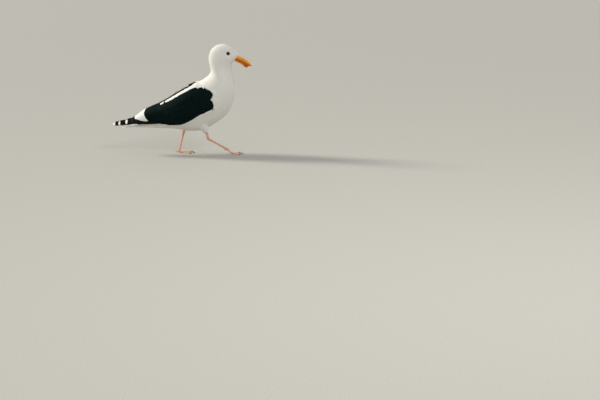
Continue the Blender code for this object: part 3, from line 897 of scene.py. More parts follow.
@dataclass
class Vanes(Batch):
    """Closed leaves as rings of points (vane, station, round it, xyz), with what their finish reads.

    Off the quill and run from the root are in metres. Patch is the root's place, and rim says which of the
    points round a vane are on its edge.
    """

    rings: Array
    off: Array
    run: Array
    patch: Array
    tint: Array
    white_from: Array
    rim: Array

    PATCH = 0.003
    BORDER, TILE_BORDER = 0.01, 0.02
    TILE_USED = 0.45

    @staticmethod
    def laid(sheet: Sheet, roots: Roots, shape: VaneShape) -> "Vanes":
        """Lays vanes on a sheet, so that each follows the form under it.

        A vane's point at share t of its length and w of its half width lies at its root's place plus the
        two distances turned by yaw, over the sheet by low + (high - low) (1 - (1 - t)^settle) + crown.

        Args:
            sheet: the surface.
            roots: the vanes' roots.
            shape: their outline and section.

        Returns:
            The vanes.
        """
        across, under = shape.ring()
        t, w = np.array(shape.stations)[None, :, None], across[None, None, :]
        # The roots' numbers, with room for stations along each vane and points round it.
        root = roots.kept(np.s_[:, None, None])
        half = root.half_width * np.array(shape.widths)[None, :, None]
        off = half * w
        run = np.broadcast_to(root.length * t, off.shape)
        rise = root.low + (root.high - root.low) * (1 - (1 - t) ** shape.settle)
        bow = shape.crown * half * (1 - w * w)
        deep = under * shape.thickness * (1 - w * w * 0.5) * np.minimum(1.0, 3 * (1.02 - t))
        cos, sin = np.cos(root.yaw), np.sin(root.yaw)
        ahead, aside = run * cos - off * sin, run * sin + off * cos
        pace = sheet.pace(roots.run, roots.turn)[:, None, None]
        at_run = root.run + ahead / np.maximum(pace, 1e-4)
        down = np.repeat(roots.turn[:, None], len(shape.stations), axis=1)
        girth = sheet.girth(at_run.mean(axis=2), down)[..., None]
        at_turn = root.turn + aside / np.maximum(girth, 1e-4)
        patch = np.stack([roots.run, roots.turn % 1.0], axis=-1)
        rim = np.broadcast_to(across * across > 0.999, (len(off), len(across)))
        white_from = np.broadcast_to(root.white_from, off.shape)
        rings = sheet.at(at_run, at_turn, rise + bow - deep)
        return Vanes(rings, off, run, patch, roots.tint, white_from, rim)

    def baked(self, tiled: bool) -> Array:
        """Places on the bake's map: a patch at each root's place, or a tile of its own for each vane.

        Args:
            tiled: whether each vane has a tile.

        Returns:
            (vanes, stations, around, 2) numbers from 0 to 1.
        """
        if tiled:
            count = len(self.off)
            aside = self.off / np.abs(self.off).max(axis=(1, 2), keepdims=True)
            across = (np.arange(count)[:, None, None] + 0.5 + self.TILE_USED * aside) / count
            along = self.TILE_BORDER + (1 - 2 * self.TILE_BORDER) * self.run / self.run.max()
            return np.stack([across, along], axis=-1)
        share = (self.patch - self.patch.min(axis=0)) / np.maximum(np.ptp(self.patch, axis=0), 1e-6)
        centre = self.BORDER + (1 - 2 * self.BORDER) * share
        size = np.maximum(np.abs(self.off).max(axis=(1, 2)) * 2, self.run.max(axis=(1, 2)))[:, None, None]
        inside = np.stack([self.off / size, self.run / size - 0.5], axis=-1) * self.PATCH
        return centre[:, None, None, :] + inside

    def mesh(self, name: str, tiled: bool = False) -> Mesh:
        """One mesh of every vane, with sharp edges, the finish's map and numbers, and the bake's map.

        Args:
            name: the mesh's name.
            tiled: whether each vane's markings need a bake of their own.

        Returns:
            The mesh.
        """
        count, stations, around = self.off.shape
        half = stations // 2
        loop, middle = self.rings[:, half], self.rings.mean(axis=2)
        area = np.cross(loop, np.roll(loop, -1, axis=1)).sum(axis=1)
        forward = np.einsum("ij,ij->i", area, middle[:, half + 1] - middle[:, half - 1]) > 0
        first = np.arange(count)[:, None, None] * stations * around
        faces = []
        for keep, flip in ((forward, False), (~forward, True)):
            for form in ring_faces(stations, around, flip):
                faces.append((first[keep] + form[None]).reshape(-1, form.shape[1]))
        mesh = mesh_of(name, self.rings.reshape(-1, 3), [group for group in faces if len(group)])
        rim = np.broadcast_to(self.rim[:, None], self.off.shape).ravel()
        ends = np.empty(len(mesh.edges) * 2, np.int32)
        mesh.edges.foreach_get("vertices", ends)
        sharp = rim[ends.reshape(-1, 2)].all(axis=1)
        mesh.attributes.new("sharp_edge", "BOOLEAN", "EDGE").data.foreach_set("value", sharp)
        mark(mesh, "tint", np.broadcast_to(self.tint[:, None, None], self.off.shape))
        mark(mesh, "white_from", self.white_from * 100)
        unwrap(mesh, "Vane", np.stack([self.off, self.run], axis=-1) * 100)
        unwrap(mesh, "OFBake", self.baked(tiled))
        return mesh


@dataclass(frozen=True)
class Tract:
    """A field of like feathers: how their sizes change along the lie, and how thickly they are set.

    Each row of sizes holds the place along the sheet, then the exposed and the whole length, the half width
    and the depth of the coat in millimetres.
    """

    sizes: Table
    run: Pair
    turn: Pair
    lift: float = 0.15 * MM
    packing: float = 0.85
    ragged: float = 1.0

    # Powers of the sheet's fanning out that lengths and widths follow, and the least and greatest scale.
    FANNING, WIDENING, SCALES = 0.8, 0.7, (0.55, 1.6)
    # What chance does: aside and ahead in spacings, rise in depths, then length, width, turn and tint.
    ASIDE, AHEAD, ABOVE, LONGER, WIDER, TURNED, LIGHTER = 0.2, 0.25, 0.03, 0.07, 0.06, 0.06, 0.22

    def size_at(self, share: Array | float) -> Array:
        """Exposed length, length, half width and depth at places along the sheet, in metres."""
        table = np.array(self.sizes)
        return np.stack([np.interp(share, table[:, 0], column) for column in table[:, 1:].T]) * MM

    def planted(self, sheet: Sheet, rng: np.random.Generator) -> Roots:
        """Sets feathers in rows across the sheet, each row half a feather along from the last.

        Where the sheet's rows fan out, feathers are longer and wider, and where they crowd, smaller.

        Args:
            sheet: the surface they grow on.
            rng: the source of their small differences.

        Returns:
            The roots.
        """
        shares, turns = np.linspace(*self.run, 400), np.linspace(*self.turn, 200)
        across, along = np.meshgrid(turns, shares)
        rows = np.cumsum(sheet.pace(along, across).mean(axis=1) / self.size_at(shares)[0])
        rows *= shares[1] - shares[0]
        groups = []
        for k, share in enumerate(np.interp(np.arange(0.5, rows[-1]), rows, shares)):
            exposed, length, half_width, depth = self.size_at(share)
            here = np.full(len(turns), share)
            pace, girth = sheet.pace(here, turns), sheet.girth(here, turns)
            scale = np.clip((pace / pace.mean()) ** self.FANNING, *self.SCALES)
            apart = self.packing * half_width * scale ** self.WIDENING
            passed = np.cumsum(girth / apart) * (turns[1] - turns[0])
            passed -= passed[0]
            count = max(int(round(passed[-1])), 1)
            aside, ahead, above, longer, wider, turned, lighter = rng.normal(size=(7, count)) * self.ragged
            spots = np.arange(count) + (0.25 if k % 2 else 0.75) + self.ASIDE * np.clip(aside, -1.5, 1.5)
            turn = np.interp(spots * passed[-1] / count, passed, turns)
            size = np.interp(turn, turns, scale)
            run = share + self.AHEAD * exposed * np.clip(ahead, -2, 2) / np.interp(turn, turns, pace)
            rise = depth * self.ABOVE * np.clip(above, -2, 2)
            length = length * size * (1 + self.LONGER * longer)
            half_width = half_width * size ** self.WIDENING * (1 + self.WIDER * wider)
            tint = np.clip(0.5 + self.LIGHTER * lighter, 0, 1)
            heights = (rise - depth, self.lift + rise)
            groups.append(Roots(run, turn, length, half_width, *heights, tint, self.TURNED * turned))
        return Roots.merged(groups)


# ---- the bird's form


@dataclass
class Outline:
    """A closed line in the bird's upright plane: how far ahead and how high its points are."""

    points: Array

    def beyond(self, places: Array) -> Array:
        """How far places are outside the line as seen from the side, below 0 inside it.

        Args:
            places: (..., 3) places.

        Returns:
            The distances in metres.
        """
        way = np.roll(self.points, -1, axis=0) - self.points
        x, z = (places[..., axis].reshape(-1, 1) - self.points[:, k] for k, axis in enumerate((0, 2)))
        share = np.clip((x * way[:, 0] + z * way[:, 1]) / (way ** 2).sum(axis=1), 0.0, 1.0)
        gap = np.hypot(x - share * way[:, 0], z - share * way[:, 1]).min(axis=1)
        crossed = (z < 0) != (z < way[:, 1])
        steep = np.where(np.abs(way[:, 1]) < 1e-9, 1e-9, way[:, 1])
        inside = (crossed & (x < z * way[:, 0] / steep)).sum(axis=1) % 2 == 1
        return np.where(inside, -gap, gap).reshape(places.shape[:-1])


@dataclass
class WingForm:
    """A folded wing's outer form: slices with an upper and a lower edge, swollen outwards between them.

    A slice holds its upper edge (ahead, out, up), its lower edge, its bulge outwards and its depth inwards.
    """

    slices: Table = (
        (103.5, 50.5, 196, 106, 54.5, 170, 2, 3),
        (98, 48.5, 207, 101.5, 57, 154, 6.5, 8),
        (79, 41.5, 221, 86, 58.5, 145, 11, 9),
        (50, 28, 233, 58, 58, 131, 18, 8),
        (16, 24, 220.5, 27, 56.5, 113.5, 21.5, 6),
        (-18, 21, 201, -4, 52.5, 103, 21.5, 5),
        (-50, 15.5, 180.5, -37, 46, 102.5, 19, 4),
        (-80, 8.5, 162.5, -71, 39, 108.5, 15.5, 3.5),
        (-108, 4, 149.5, -102, 32, 112, 11.5, 3),
        (-126, 3, 140, -125, 26.5, 111, 8.5, 3),
        (-142, 3.5, 129.5, -142.5, 21.5, 110.5, 5, 2.5),
        (-153, 6, 121.5, -154, 16.5, 112, 2, 1.5),
    )
    rows: int = 260
    inner_columns: int = 22
    outer_columns: int = 110
    inner_share: float = 0.3
    tuck: float = 7.0 * MM
    tuck_reach: float = 13.0 * MM
    tucked_from: Pair = (-48.0 * MM, -18.0 * MM)
    # The notch between shoulder and wrist: how far ahead and up, its reach, and how deep it sinks.
    notch: tuple[float, ...] = (99.0, 187.5, 8.5, 8.0)
    notch_tip: float = 90.0
    notch_flatness: float = 0.7
    notch_mouth: float = 0.8
    notch_lips: Pair = (6.0, 5.0)
    swelling: float = 0.75
    inner_gap: float = 1.2 * MM
    samples: int = 240
    inner_samples: int = 100
    outline_step: int = 6

    def sections(self) -> tuple[Array, ...]:
        """Each row's upper edge, line to the lower edge, outward way, bulge and depth, in metres."""
        rows = spline(self.slices, self.rows) * MM
        upper, line = rows[:, :3], rows[:, 3:6] - rows[:, :3]
        out = unit(np.stack([np.zeros(len(rows)), -line[:, 2], line[:, 1]], axis=1))
        return upper, line, out, rows[:, 6], rows[:, 7]

    def curve(self, down: Array, inner: bool) -> Array:
        """Points of each row's outer or inner curve.

        Outside, a point is upper edge + share * line + out * bulge * sin(pi share)^0.75, and inside the
        depth takes the bulge's place with the other sign.

        Args:
            down: shares of the way from the upper to the lower edge.
            inner: whether to follow the inner side.

        Returns:
            (rows, len(down), 3) points.
        """
        upper, line, out, bulge, depth = self.sections()
        swell = np.sin(math.pi * down) ** self.swelling
        size = -depth if inner else bulge
        points = upper[:, None] + down[None, :, None] * line[:, None]
        points = points + out[:, None] * (size[:, None] * swell)[..., None]
        if inner:
            points[..., 1] -= self.inner_gap * smooth_step(down, 0.0, 0.1)
        return points

    @staticmethod
    def evened(points: Array, count: int) -> Array:
        """Each row's curve read at evenly spaced places along it.

        Args:
            points: (rows, n, 3) points.
            count: how many places to read.

        Returns:
            (rows, count, 3) points.
        """
        share = np.linspace(0.0, 1.0, count)
        rows = []
        for line, passed in zip(points, travelled(points, 1)):
            rows.append([np.interp(share * passed[-1], passed, numbers) for numbers in line.T])
        return np.array(rows).swapaxes(1, 2)

    def sheet(self, side: float) -> Sheet:
        """The wing's outer surface, from inside its upper edge, over that edge and down to the lower edge.

        Its front and lower borders sink under the breast's feathers, by tuck * exp(-distance / reach).

        Args:
            side: 1 for the left wing, -1 for the right.

        Returns:
            The surface.
        """
        fine = (1 - np.cos(np.linspace(0.0, math.pi, self.samples))) / 2
        outer = self.evened(self.curve(fine, False), self.outer_columns)
        short = fine[:self.inner_samples]
        inner = self.curve(short * self.inner_share / short[-1], True)[:, ::-1]
        inner = self.evened(inner, self.inner_columns)
        down = np.linalg.norm(np.diff(outer, axis=1), axis=-1).sum(axis=1)
        to_lower = down[:, None] * np.linspace(1.0, 0.0, self.outer_columns)
        back = travelled(outer.mean(axis=1))
        near = np.minimum(to_lower, back[:, None])
        out = self.sections()[2]
        held = smooth_step(outer[..., 0], *self.tucked_from)
        sunk = self.tuck * np.exp(-near / self.tuck_reach) * held
        ahead, up, reach, deep = np.array(self.notch) * MM
        apart = ((outer[..., 0] - ahead) / reach) ** 2
        apart += ((outer[..., 2] - up) / (self.notch_flatness * reach)) ** 2
        outer = outer - out[:, None] * (sunk + deep * np.exp(-apart))[..., None]
        sunk_top = (self.tuck * np.exp(-back / self.tuck_reach))[:, None, None]
        points = np.concatenate([inner[:, :-1] - out[:, None] * sunk_top, outer], axis=1)
        return Sheet(points * [1.0, side, 1.0], False, np.array([0.0, -side, 0.0]))

    def share_out(self, down: Array | float) -> Array | float:
        """The column of the sheet at a share of the way down the outer side, below 0 inside the ridge."""
        ridge = (self.inner_columns - 1) / (self.inner_columns + self.outer_columns - 2)
        return ridge + down * (1 - ridge)

    def run_at(self, ahead: float) -> float:
        """The place along the sheet at which the wing's middle is this far ahead, in millimetres."""
        middle = self.curve(np.array([0.5]), False)[:, 0, 0]
        return float(np.interp(-ahead * MM, -middle, np.linspace(0.0, 1.0, self.rows)))

    def outline(self) -> Outline:
        """The wing's border seen from the side."""
        upper, line = self.sections()[:2]
        every = self.outline_step
        round_it = np.concatenate([upper[::every], (upper + line)[::-every]])[:, [0, 2]]
        ahead, up, reach, _ = self.notch
        low, high = self.notch_lips
        gape = self.notch_mouth * reach
        mouth = [(ahead + low, up - gape), (self.notch_tip, up), (ahead + high, up + gape)]
        return Outline(np.concatenate([round_it, np.array(mouth) * MM]))

    def ridge(self, ahead: Array) -> Array:
        """How far out the wing's upper edge is, at places along the bird."""
        upper = self.sections()[0]
        return np.interp(ahead, upper[::-1, 0], upper[::-1, 1])


@dataclass
class BodyForm:
    """The bird's outer form from bill to tail: slices from the back line to the front line.

    A slice holds its back point and front point (ahead, up), half width, and fullness in hundredths. At an
    angle a round it, the share toward the back is (1 + cos a) / 2 and the distance to the side is
    half width * sin a * (1 + fullness * cos a).
    """

    slices: Table = (
        (184, 321.5, 168, 301.2, 10, 0),
        (176.5, 333, 164, 297, 16, 4),
        (163.5, 344.5, 161.3, 291.5, 21, 6),
        (148, 352.8, 160.5, 287, 23.5, 4),
        (131, 357, 161, 281, 25, 0),
        (112, 352, 162, 274, 26, 0),
        (97, 339.8, 163.5, 266, 26.5, 0),
        (88.5, 320.5, 165.5, 255, 28, 0),
        (88, 301, 168, 240, 31, -2),
        (92, 283, 170.5, 221, 36.5, -4),
        (93, 265.5, 170.5, 196, 42.5, -4),
        (73, 245.5, 163.5, 164, 49, 0),
        (40, 228, 146, 132, 53.5, 6),
        (-2, 204, 106, 100, 55, 8),
        (-42, 178, 60, 77, 52, 6),
        (-76, 155, 14, 75, 43.5, 0),
        (-102, 134, -28, 82, 33, -4),
        (-120, 117, -68, 83.5, 25, -4),
        (-138, 104.5, -104, 85, 21, 0),
        (-154, 97.5, -134, 86, 21, 0),
        (-172, 93.6, -163, 87.2, 24, 0),
        (-192, 91.4, -190, 88.2, 26.5, 0),
        (-200.5, 90.6, -200, 89, 24, 0),
    )
    places: tuple[str, ...] = (
        "feather line", "lores", "brow", "over the eye", "crown", "back of the crown", "back of the head",
        "nape", "neck", "low neck", "base of the neck", "shoulders", "breast", "fore belly", "belly",
        "hind belly", "vent", "rump", "tail coverts", "root of the tail", "middle of the tail",
        "end of the tail", "tip of the tail",
    )
    # Swellings and hollows on both sides of the head: ahead, up, half length, half height, rise.
    swellings: Table = (
        (157, 338.5, 14, 5, 1.1),
        (151, 328, 9, 8.5, -1.4),
        (170, 325, 9, 6, -1.1),
        (135, 308, 20, 14, 1.4),
    )
    # How far a place on the head has to face sideways before the swellings begin, and for all of them.
    sideways: Pair = (0.2, 0.7)
    rows: int = 320
    columns: int = 160
    lip: float = 3.0 * MM
    lip_reach: float = 7.0 * MM
    lip_gap: float = 1.0 * MM
    lip_from: Pair = (-60.0 * MM, -30.0 * MM)
    lip_aside: Pair = (22.0 * MM, 36.0 * MM)

    def share(self, place: str) -> float:
        """How far along the body a named slice is, from 0 at the bill to 1 at the tail's tip."""
        knots = travelled(np.array(self.slices))
        return float(knots[self.places.index(place)] / knots[-1])

    def ovals(self) -> Array:
        """The slices as a grid of points."""
        rows = spline(self.slices, self.rows)
        angle = np.linspace(0.0, 2 * math.pi, self.columns, endpoint=False)
        toward_back = (1 + np.cos(angle)) / 2
        back_x, back_z, front_x, front_z, half_width, fullness = rows.T[..., None]
        side = half_width * np.sin(angle) * (1 + fullness / 100 * np.cos(angle))
        ahead = front_x + (back_x - front_x) * toward_back
        up = front_z + (back_z - front_z) * toward_back
        return np.stack([ahead, side, up], axis=-1) * MM

    def sheet(self, wing: Outline) -> Sheet:
        """The outer form with the head's swellings, and a low lip of feathers round each wing's front.

        Args:
            wing: the wing's border seen from the side.

        Returns:
            The surface.
        """
        plain = Sheet(self.ovals(), True)
        x, y, z = np.moveaxis(plain.points, -1, 0)
        sideways = smooth_step(np.abs(plain.normal[..., 1]), *self.sideways)
        rise = np.zeros(x.shape)
        for ahead, up, length, height, size in self.swellings:
            apart = ((x / MM - ahead) / length) ** 2 + ((z / MM - up) / height) ** 2
            rise += size * MM * np.exp(-apart) * sideways
        gap = wing.beyond(plain.points)
        held = smooth_step(x, *self.lip_from) * smooth_step(np.abs(y), *self.lip_aside)
        rise += self.lip * np.exp(-((gap - self.lip_gap) / self.lip_reach) ** 2) * held
        return Sheet(plain.points + plain.normal * rise[..., None], True)


@dataclass(frozen=True)
class LegForm:
    """One leg's joints (ahead, to the left, up), and how its foot lies."""

    side: str
    hip: Place
    knee: Place
    sleeve_end: Place
    ankle: Place
    knuckle: Place
    toe_in: float
    heel_lift: float
    flat_from: float
    sleeve_radii: tuple[float, ...] = (19.0, 19.5, 15.3, 7.2)
    sleeve_slices: int = 70
    sleeve_points: int = 56
    tarsus_radius: float = 3.2
    ankle_radius: float = 4.6

    @staticmethod
    def between(start: tuple, end: tuple, share: float) -> Array:
        """A point between two points."""
        return np.array(start) + (np.array(end) - start) * share

    def sleeve(self, less: float = 0.0) -> Array:
        """Slices of the feathered thigh, narrower all round by less, in metres."""
        path = (self.hip, self.knee, self.between(self.knee, self.sleeve_end, 0.55), self.sleeve_end)
        return tube(path, self.sleeve_radii, self.sleeve_slices, self.sleeve_points, less / MM) * MM


LEGS = (
    LegForm(
        "right", (44.0, -13.5, 130.0), (60.0, -16.5, 108.0), (78.0, -23.5, 73.0), (86.0, -23.0, 50.0),
        (146.5, -19.0, 15.5), 2.0, 10.0, 25.0,
    ),
    LegForm(
        "left", (26.0, 14.0, 126.0), (14.0, 15.5, 104.0), (5.0, 18.5, 79.5), (2.0, 17.0, 71.0),
        (-13.5, 8.5, 6.5), -4.0, 0.0, 0.0,
    ),
)


@dataclass
class Bird:
    """The forms that skin and coat share."""

    body: BodyForm = field(default_factory=BodyForm)
    wing: WingForm = field(default_factory=WingForm)
    mantle_from: float = 47.0 * MM
    mantle_to: float = -100.0 * MM
    mantle_point: float = 12.0 * MM
    mantle_half_width: float = 24.0 * MM
    mantle_turn: float = 0.55
    # The small slate feathers ahead of each wing: how high, and how far ahead their front edge is there.
    shoulder: Table = (
        (156.9, -99), (157, 101), (161, 103.8), (170, 105.2), (176, 103.5), (181, 100.3),
        (186, 95.5), (190, 94.5), (193, 98), (196.5, 101.3), (204, 102.2), (211, 98.5),
        (216.5, 92), (221, 80), (224, 66), (226, 50),
    )
    shoulder_tuck: float = 7.0 * MM
    shoulder_reach: float = 19.0 * MM
    ridge_clearance: float = 1.0 * MM
    eyes_forward: float = 10.0
    eyes_up: float = 8.0
    rim_share: float = 0.82

    def __post_init__(self) -> None:
        """Works out the surfaces, and reads the eyes' places from the frame.

        Each eye keeps its middle, its radius, its outward way and the middle of its opening.
        """
        self.border = self.wing.outline()
        self.skin_sheet = self.body.sheet(self.border)
        self.wings = {name: self.wing.sheet(side) for name, side in SIDES.items()}
        self.thighs = {leg.side: Sheet(leg.sleeve(), True) for leg in LEGS}
        self.eyes = {}
        for name in SIDES:
            low, high = (np.array(corner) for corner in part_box("eye_" + name))
            middle, radius = (low + high) / 2, float((high - low)[0] / 2)
            ahead, up = math.radians(self.eyes_forward), math.radians(self.eyes_up)
            level = np.array([math.sin(ahead), SIDES[name] * math.cos(ahead), 0.0])
            outward = level * math.cos(up) + [0.0, 0.0, math.sin(up)]
            self.eyes[name] = (middle, radius, outward, middle + outward * radius * self.rim_share)

    def under_wing(self, points: Array, margin: float) -> Array:
        """Which places a folded wing hides, by more than a margin inside its border."""
        ridge = self.wing.ridge(points[..., 0]) + self.ridge_clearance
        return (self.border.beyond(points) < -margin) & (np.abs(points[..., 1]) > ridge)

    def ahead_of_wing(self, points: Array, tuck: float) -> Array:
        """Which places are in the small slate feathers ahead of a wing, moved ahead by tuck."""
        front = np.interp(points[:, 2] / MM, *np.array(self.shoulder).T) * MM
        beside = np.abs(points[:, 1]) > self.mantle_half_width
        near = self.border.beyond(points) < self.shoulder_reach
        return beside & near & (points[:, 0] > 0.0) & (points[:, 0] < front + tuck)

    def slate(self, points: Array, turn: Array) -> Array:
        """Which places on the body are in the slate mantle between the wings."""
        on_back = np.cos(2 * math.pi * turn) > self.mantle_turn
        front = self.mantle_from + self.mantle_point * (1 - (points[..., 1] / self.mantle_half_width) ** 2)
        return on_back & (points[..., 0] < front) & (points[..., 0] > self.mantle_to)


def outside(points: Array, sheet: Sheet, near_by: float = 30 * MM, batch: int = 2000) -> Array:
    """How far places are outside a closed sheet, below 0 inside, from its nearest point.

    Args:
        points: (n, 3) places.
        sheet: the surface.
        near_by: the distance past which a place counts as outside.
        batch: how many places are compared at a time, to save memory.

    Returns:
        The n distances.
    """
    spots, facing = (values[::3, ::3].reshape(-1, 3) for values in (sheet.points, sheet.normal))
    found = []
    for some in (points[start:start + batch] for start in range(0, len(points), batch)):
        apart = (some ** 2).sum(axis=1)[:, None] - 2 * some @ spots.T + (spots ** 2).sum(axis=1)
        near = apart.argmin(axis=1)
        offset = some - spots[near]
        gap = np.linalg.norm(offset, axis=1)
        found.append(np.where(gap < near_by, np.einsum("ij,ij->i", offset, facing[near]), gap))
    return np.concatenate(found)


# ---- the pieces


@dataclass
class Skin:
    """One skin under the coat of body, wings and thighs."""

    bird: Bird
    depth: Table = (
        (0, 0.5), (0.1, 0.8), (0.3, 1.2), (0.5, 1.6), (0.75, 1.9), (0.88, 1.5), (0.94, 0.9), (1, 0.6),
    )
    wing_depth: float = 3.4 * MM
    wing_thickness: float = 7.0 * MM
    thigh_depth: float = 2.6 * MM
    voxel: float = 1.6 * MM
    smoothing: int = 3

    def build(self) -> None:
        """Merges the flesh into one surface and marks where it is slate."""
        sheet = self.bird.skin_sheet
        depth = np.interp(np.linspace(0, 1, len(sheet.points)), *np.array(self.depth).T) * MM
        forms = [form_of(sheet.inset(depth)[::2, ::2])]
        for name, side in SIDES.items():
            forms.append(form_of(self.wing_flesh(self.bird.wings[name], side)))
        forms += [form_of(leg.sleeve(self.thigh_depth)) for leg in LEGS]
        mesh = fused("skin", forms, self.voxel, self.smoothing)
        places = points_of(mesh)
        inside = self.bird.border.beyond(places) < 0
        inside |= self.bird.ahead_of_wing(places, 0.0)
        mark(mesh, "slate", (inside & (places[:, 0] > self.bird.mantle_to)).astype(float))
        nodes = ["head", "neck", "trunk", "mantle"]
        nodes += [part + "_" + name for name in SIDES for part in ("wing", "thigh")]
        piece(mesh, Down("down", WHITE_DOWN, (0.018, 0.024, 0.027)).material(), Slot.WHITE, *nodes)

    def wing_flesh(self, sheet: Sheet, side: float) -> Array:
        """Closed slices of a wing inside its feathers, short of its borders.

        Args:
            sheet: the wing's surface.
            side: 1 for the left wing, -1 for the right.

        Returns:
            (slices, around, 3) points.
        """
        outer = sheet.inset(self.wing_depth)[4:-12:3, 8:-6:3]
        inner = outer[:, ::-1].copy()
        inner[..., 1] -= self.wing_thickness * side
        return np.concatenate([outer, inner], axis=1)


WHITE_COAT = Plumage(
    "white_feathers", (0.84, 0.815, 0.72), (0.90, 0.88, 0.80), 0.78, sheen=0.2, gloss=0.15, glow=0.25,
)
SLATE_COAT = Plumage(
    "slate_feathers", (0.001, 0.0052, 0.005), (0.0034, 0.0105, 0.0098), 0.62, relief=0.4, gloss=0.025,
)
BLACK_COAT = Plumage(
    "black_feathers", (0.002, 0.0022, 0.0024), (0.005, 0.0055, 0.006), 0.55, relief=0.5, gloss=0.05,
)


@dataclass
class BodyCoat:
    """The white feathers of head, neck and body, and the slate ones of the mantle."""

    bird: Bird
    # At each of the body's slices: exposed length, length, half width, depth.
    feathers: Table = (
        (1.3, 3.22, 0.654, 0.35), (1.42, 3.79, 0.768, 0.45), (1.66, 4.6, 0.874, 0.55),
        (1.77, 5.29, 0.988, 0.65), (2.01, 5.98, 1.09, 0.75), (2.25, 6.79, 1.2, 0.85),
        (2.49, 7.47, 1.31, 0.95), (2.73, 8.16, 1.42, 1), (2.85, 8.74, 1.54, 1.1),
        (3.09, 9.43, 1.64, 1.2), (3.44, 10.3, 1.81, 1.3), (3.91, 12, 2.02, 1.4), (4.4, 13.8, 2.24, 1.5),
        (4.86, 15.5, 2.46, 1.6), (5.34, 17.2, 2.68, 1.7), (5.83, 19, 3.01, 1.7),
        (6.29, 21.3, 3.34, 1.6), (6.65, 23, 3.5, 1.4), (6.89, 25.3, 3.61, 1.1), (7.12, 27.6, 3.72, 0.8),
        (7.12, 27.6, 3.72, 0.6), (7.12, 27.6, 3.72, 0.5), (7.12, 27.6, 3.72, 0.5),
    )
    groups: tuple[tuple[str, str, str], ...] = (
        ("face_feathers", "feather line", "over the eye"),
        ("crown_feathers", "over the eye", "back of the head"),
        ("neck_feathers", "back of the head", "low neck"),
        ("collar_feathers", "low neck", "shoulders"),
        ("breast_feathers", "shoulders", "fore belly"),
        ("belly_feathers", "fore belly", "hind belly"),
        ("rump_feathers", "hind belly", "middle of the tail"),
    )
    eye_clearance: float = 5.7 * MM
    eye_overlap: float = 0.6 * MM
    eye_touch: float = 0.3 * MM
    shortest: float = 1.0 * MM
    # How far inside the wing's border a hidden feather's tip and root are, and how far inside a thigh.
    wing_overlaps: Pair = (2.0 * MM, 5.0 * MM)
    thigh_overlap: float = 3.0 * MM
    seed: int = 40

    def tract(self, start: str, end: str) -> Tract:
        """The feathers between two of the body's slices."""
        body = self.bird.body
        sizes = tuple((body.share(place), *row) for place, row in zip(body.places, self.feathers))
        return Tract(sizes, (body.share(start), body.share(end)), (0.0, 1.0))

    def build(self) -> None:
        """Lays every group, and puts the slate feathers in a piece of their own."""
        white, slate = WHITE_COAT.material(), SLATE_COAT.material()
        mantle = []
        sheet = self.bird.skin_sheet
        for number, (name, start, end) in enumerate(self.groups):
            rng = np.random.default_rng(self.seed + number)
            roots = self.eased(self.tract(start, end).planted(sheet, rng))
            vanes = Vanes.laid(sheet, roots, COAT_VANE)
            places, middles, tips = (vanes.rings[:, k].mean(axis=1) for k in (0, 2, -1))
            covered = [self.bird.under_wing(*at) for at in zip((tips, places), self.wing_overlaps)]
            keep = ~(covered[0] & covered[1]) & ~self.on_eye(places)
            for thigh in self.bird.thighs.values():
                keep &= outside(middles, thigh) > -self.thigh_overlap
            dark = self.bird.slate(places, roots.turn)
            dark |= self.bird.ahead_of_wing(places, self.bird.shoulder_tuck)
            mantle.append(vanes.kept(keep & dark))
            piece(vanes.kept(keep & ~dark).mesh(name), white, Slot.WHITE)
        piece(Vanes.merged(mantle).mesh("mantle_feathers"), slate, Slot.SLATE)

    def eased(self, roots: Roots) -> Roots:
        """Ends the feathers that point at an eye at the rim of its opening.

        Args:
            roots: a group's roots.

        Returns:
            The roots, without those left too short.
        """
        sheet = self.bird.skin_sheet
        places = sheet.at(roots.run, roots.turn)
        ahead = unit(sheet.read(sheet.run, roots.run, roots.turn))
        for *_, middle in self.bird.eyes.values():
            offset = (places - middle)[:, [0, 2]]
            toward = -(offset * ahead[:, [0, 2]]).sum(axis=1)
            miss = self.eye_clearance ** 2 - ((offset ** 2).sum(axis=1) - toward ** 2)
            reach = toward - np.sqrt(np.maximum(miss, 0.0))
            stopped = (miss > 0) & (reach > 0) & (places[:, 1] * middle[1] > 0)
            shorter = np.minimum(roots.length, reach + self.eye_touch)
            roots.length = np.where(stopped, shorter, roots.length)
        return roots.kept(roots.length > self.shortest)

    def on_eye(self, places: Array) -> Array:
        """Which places lie over an eye's opening."""
        found = np.zeros(len(places), bool)
        for *_, middle in self.bird.eyes.values():
            apart = np.hypot(places[:, 0] - middle[0], places[:, 2] - middle[2])
            found |= (apart < self.eye_clearance - self.eye_overlap) & (places[:, 1] * middle[1] > 0)
        return found


@dataclass
class ThighCoat:
    """The white feathers of the thighs."""

    bird: Bird
    tract: Tract = Tract(
        (
            (0, 3.6, 12.5, 3, 1.5), (0.6, 3.2, 11, 2.6, 1.6), (0.85, 2.4, 8, 2.1, 1.6),
            (1, 1.8, 5, 1.7, 1.2),
        ),
        (0.06, 0.97), (0, 1),
    )
    hidden: float = -0.5 * MM
    seed: int = 60

    def build(self) -> None:
        """Lays each thigh's feathers where they are outside the body."""
        for number, (name, sheet) in enumerate(self.bird.thighs.items()):
            roots = self.tract.planted(sheet, np.random.default_rng(self.seed + number))
            vanes = Vanes.laid(sheet, roots, COAT_VANE)
            keep = outside(vanes.rings[:, 3].mean(axis=1), self.bird.skin_sheet) > self.hidden
            piece(vanes.kept(keep).mesh("thigh_feathers_" + name), WHITE_COAT.material(), Slot.WHITE)


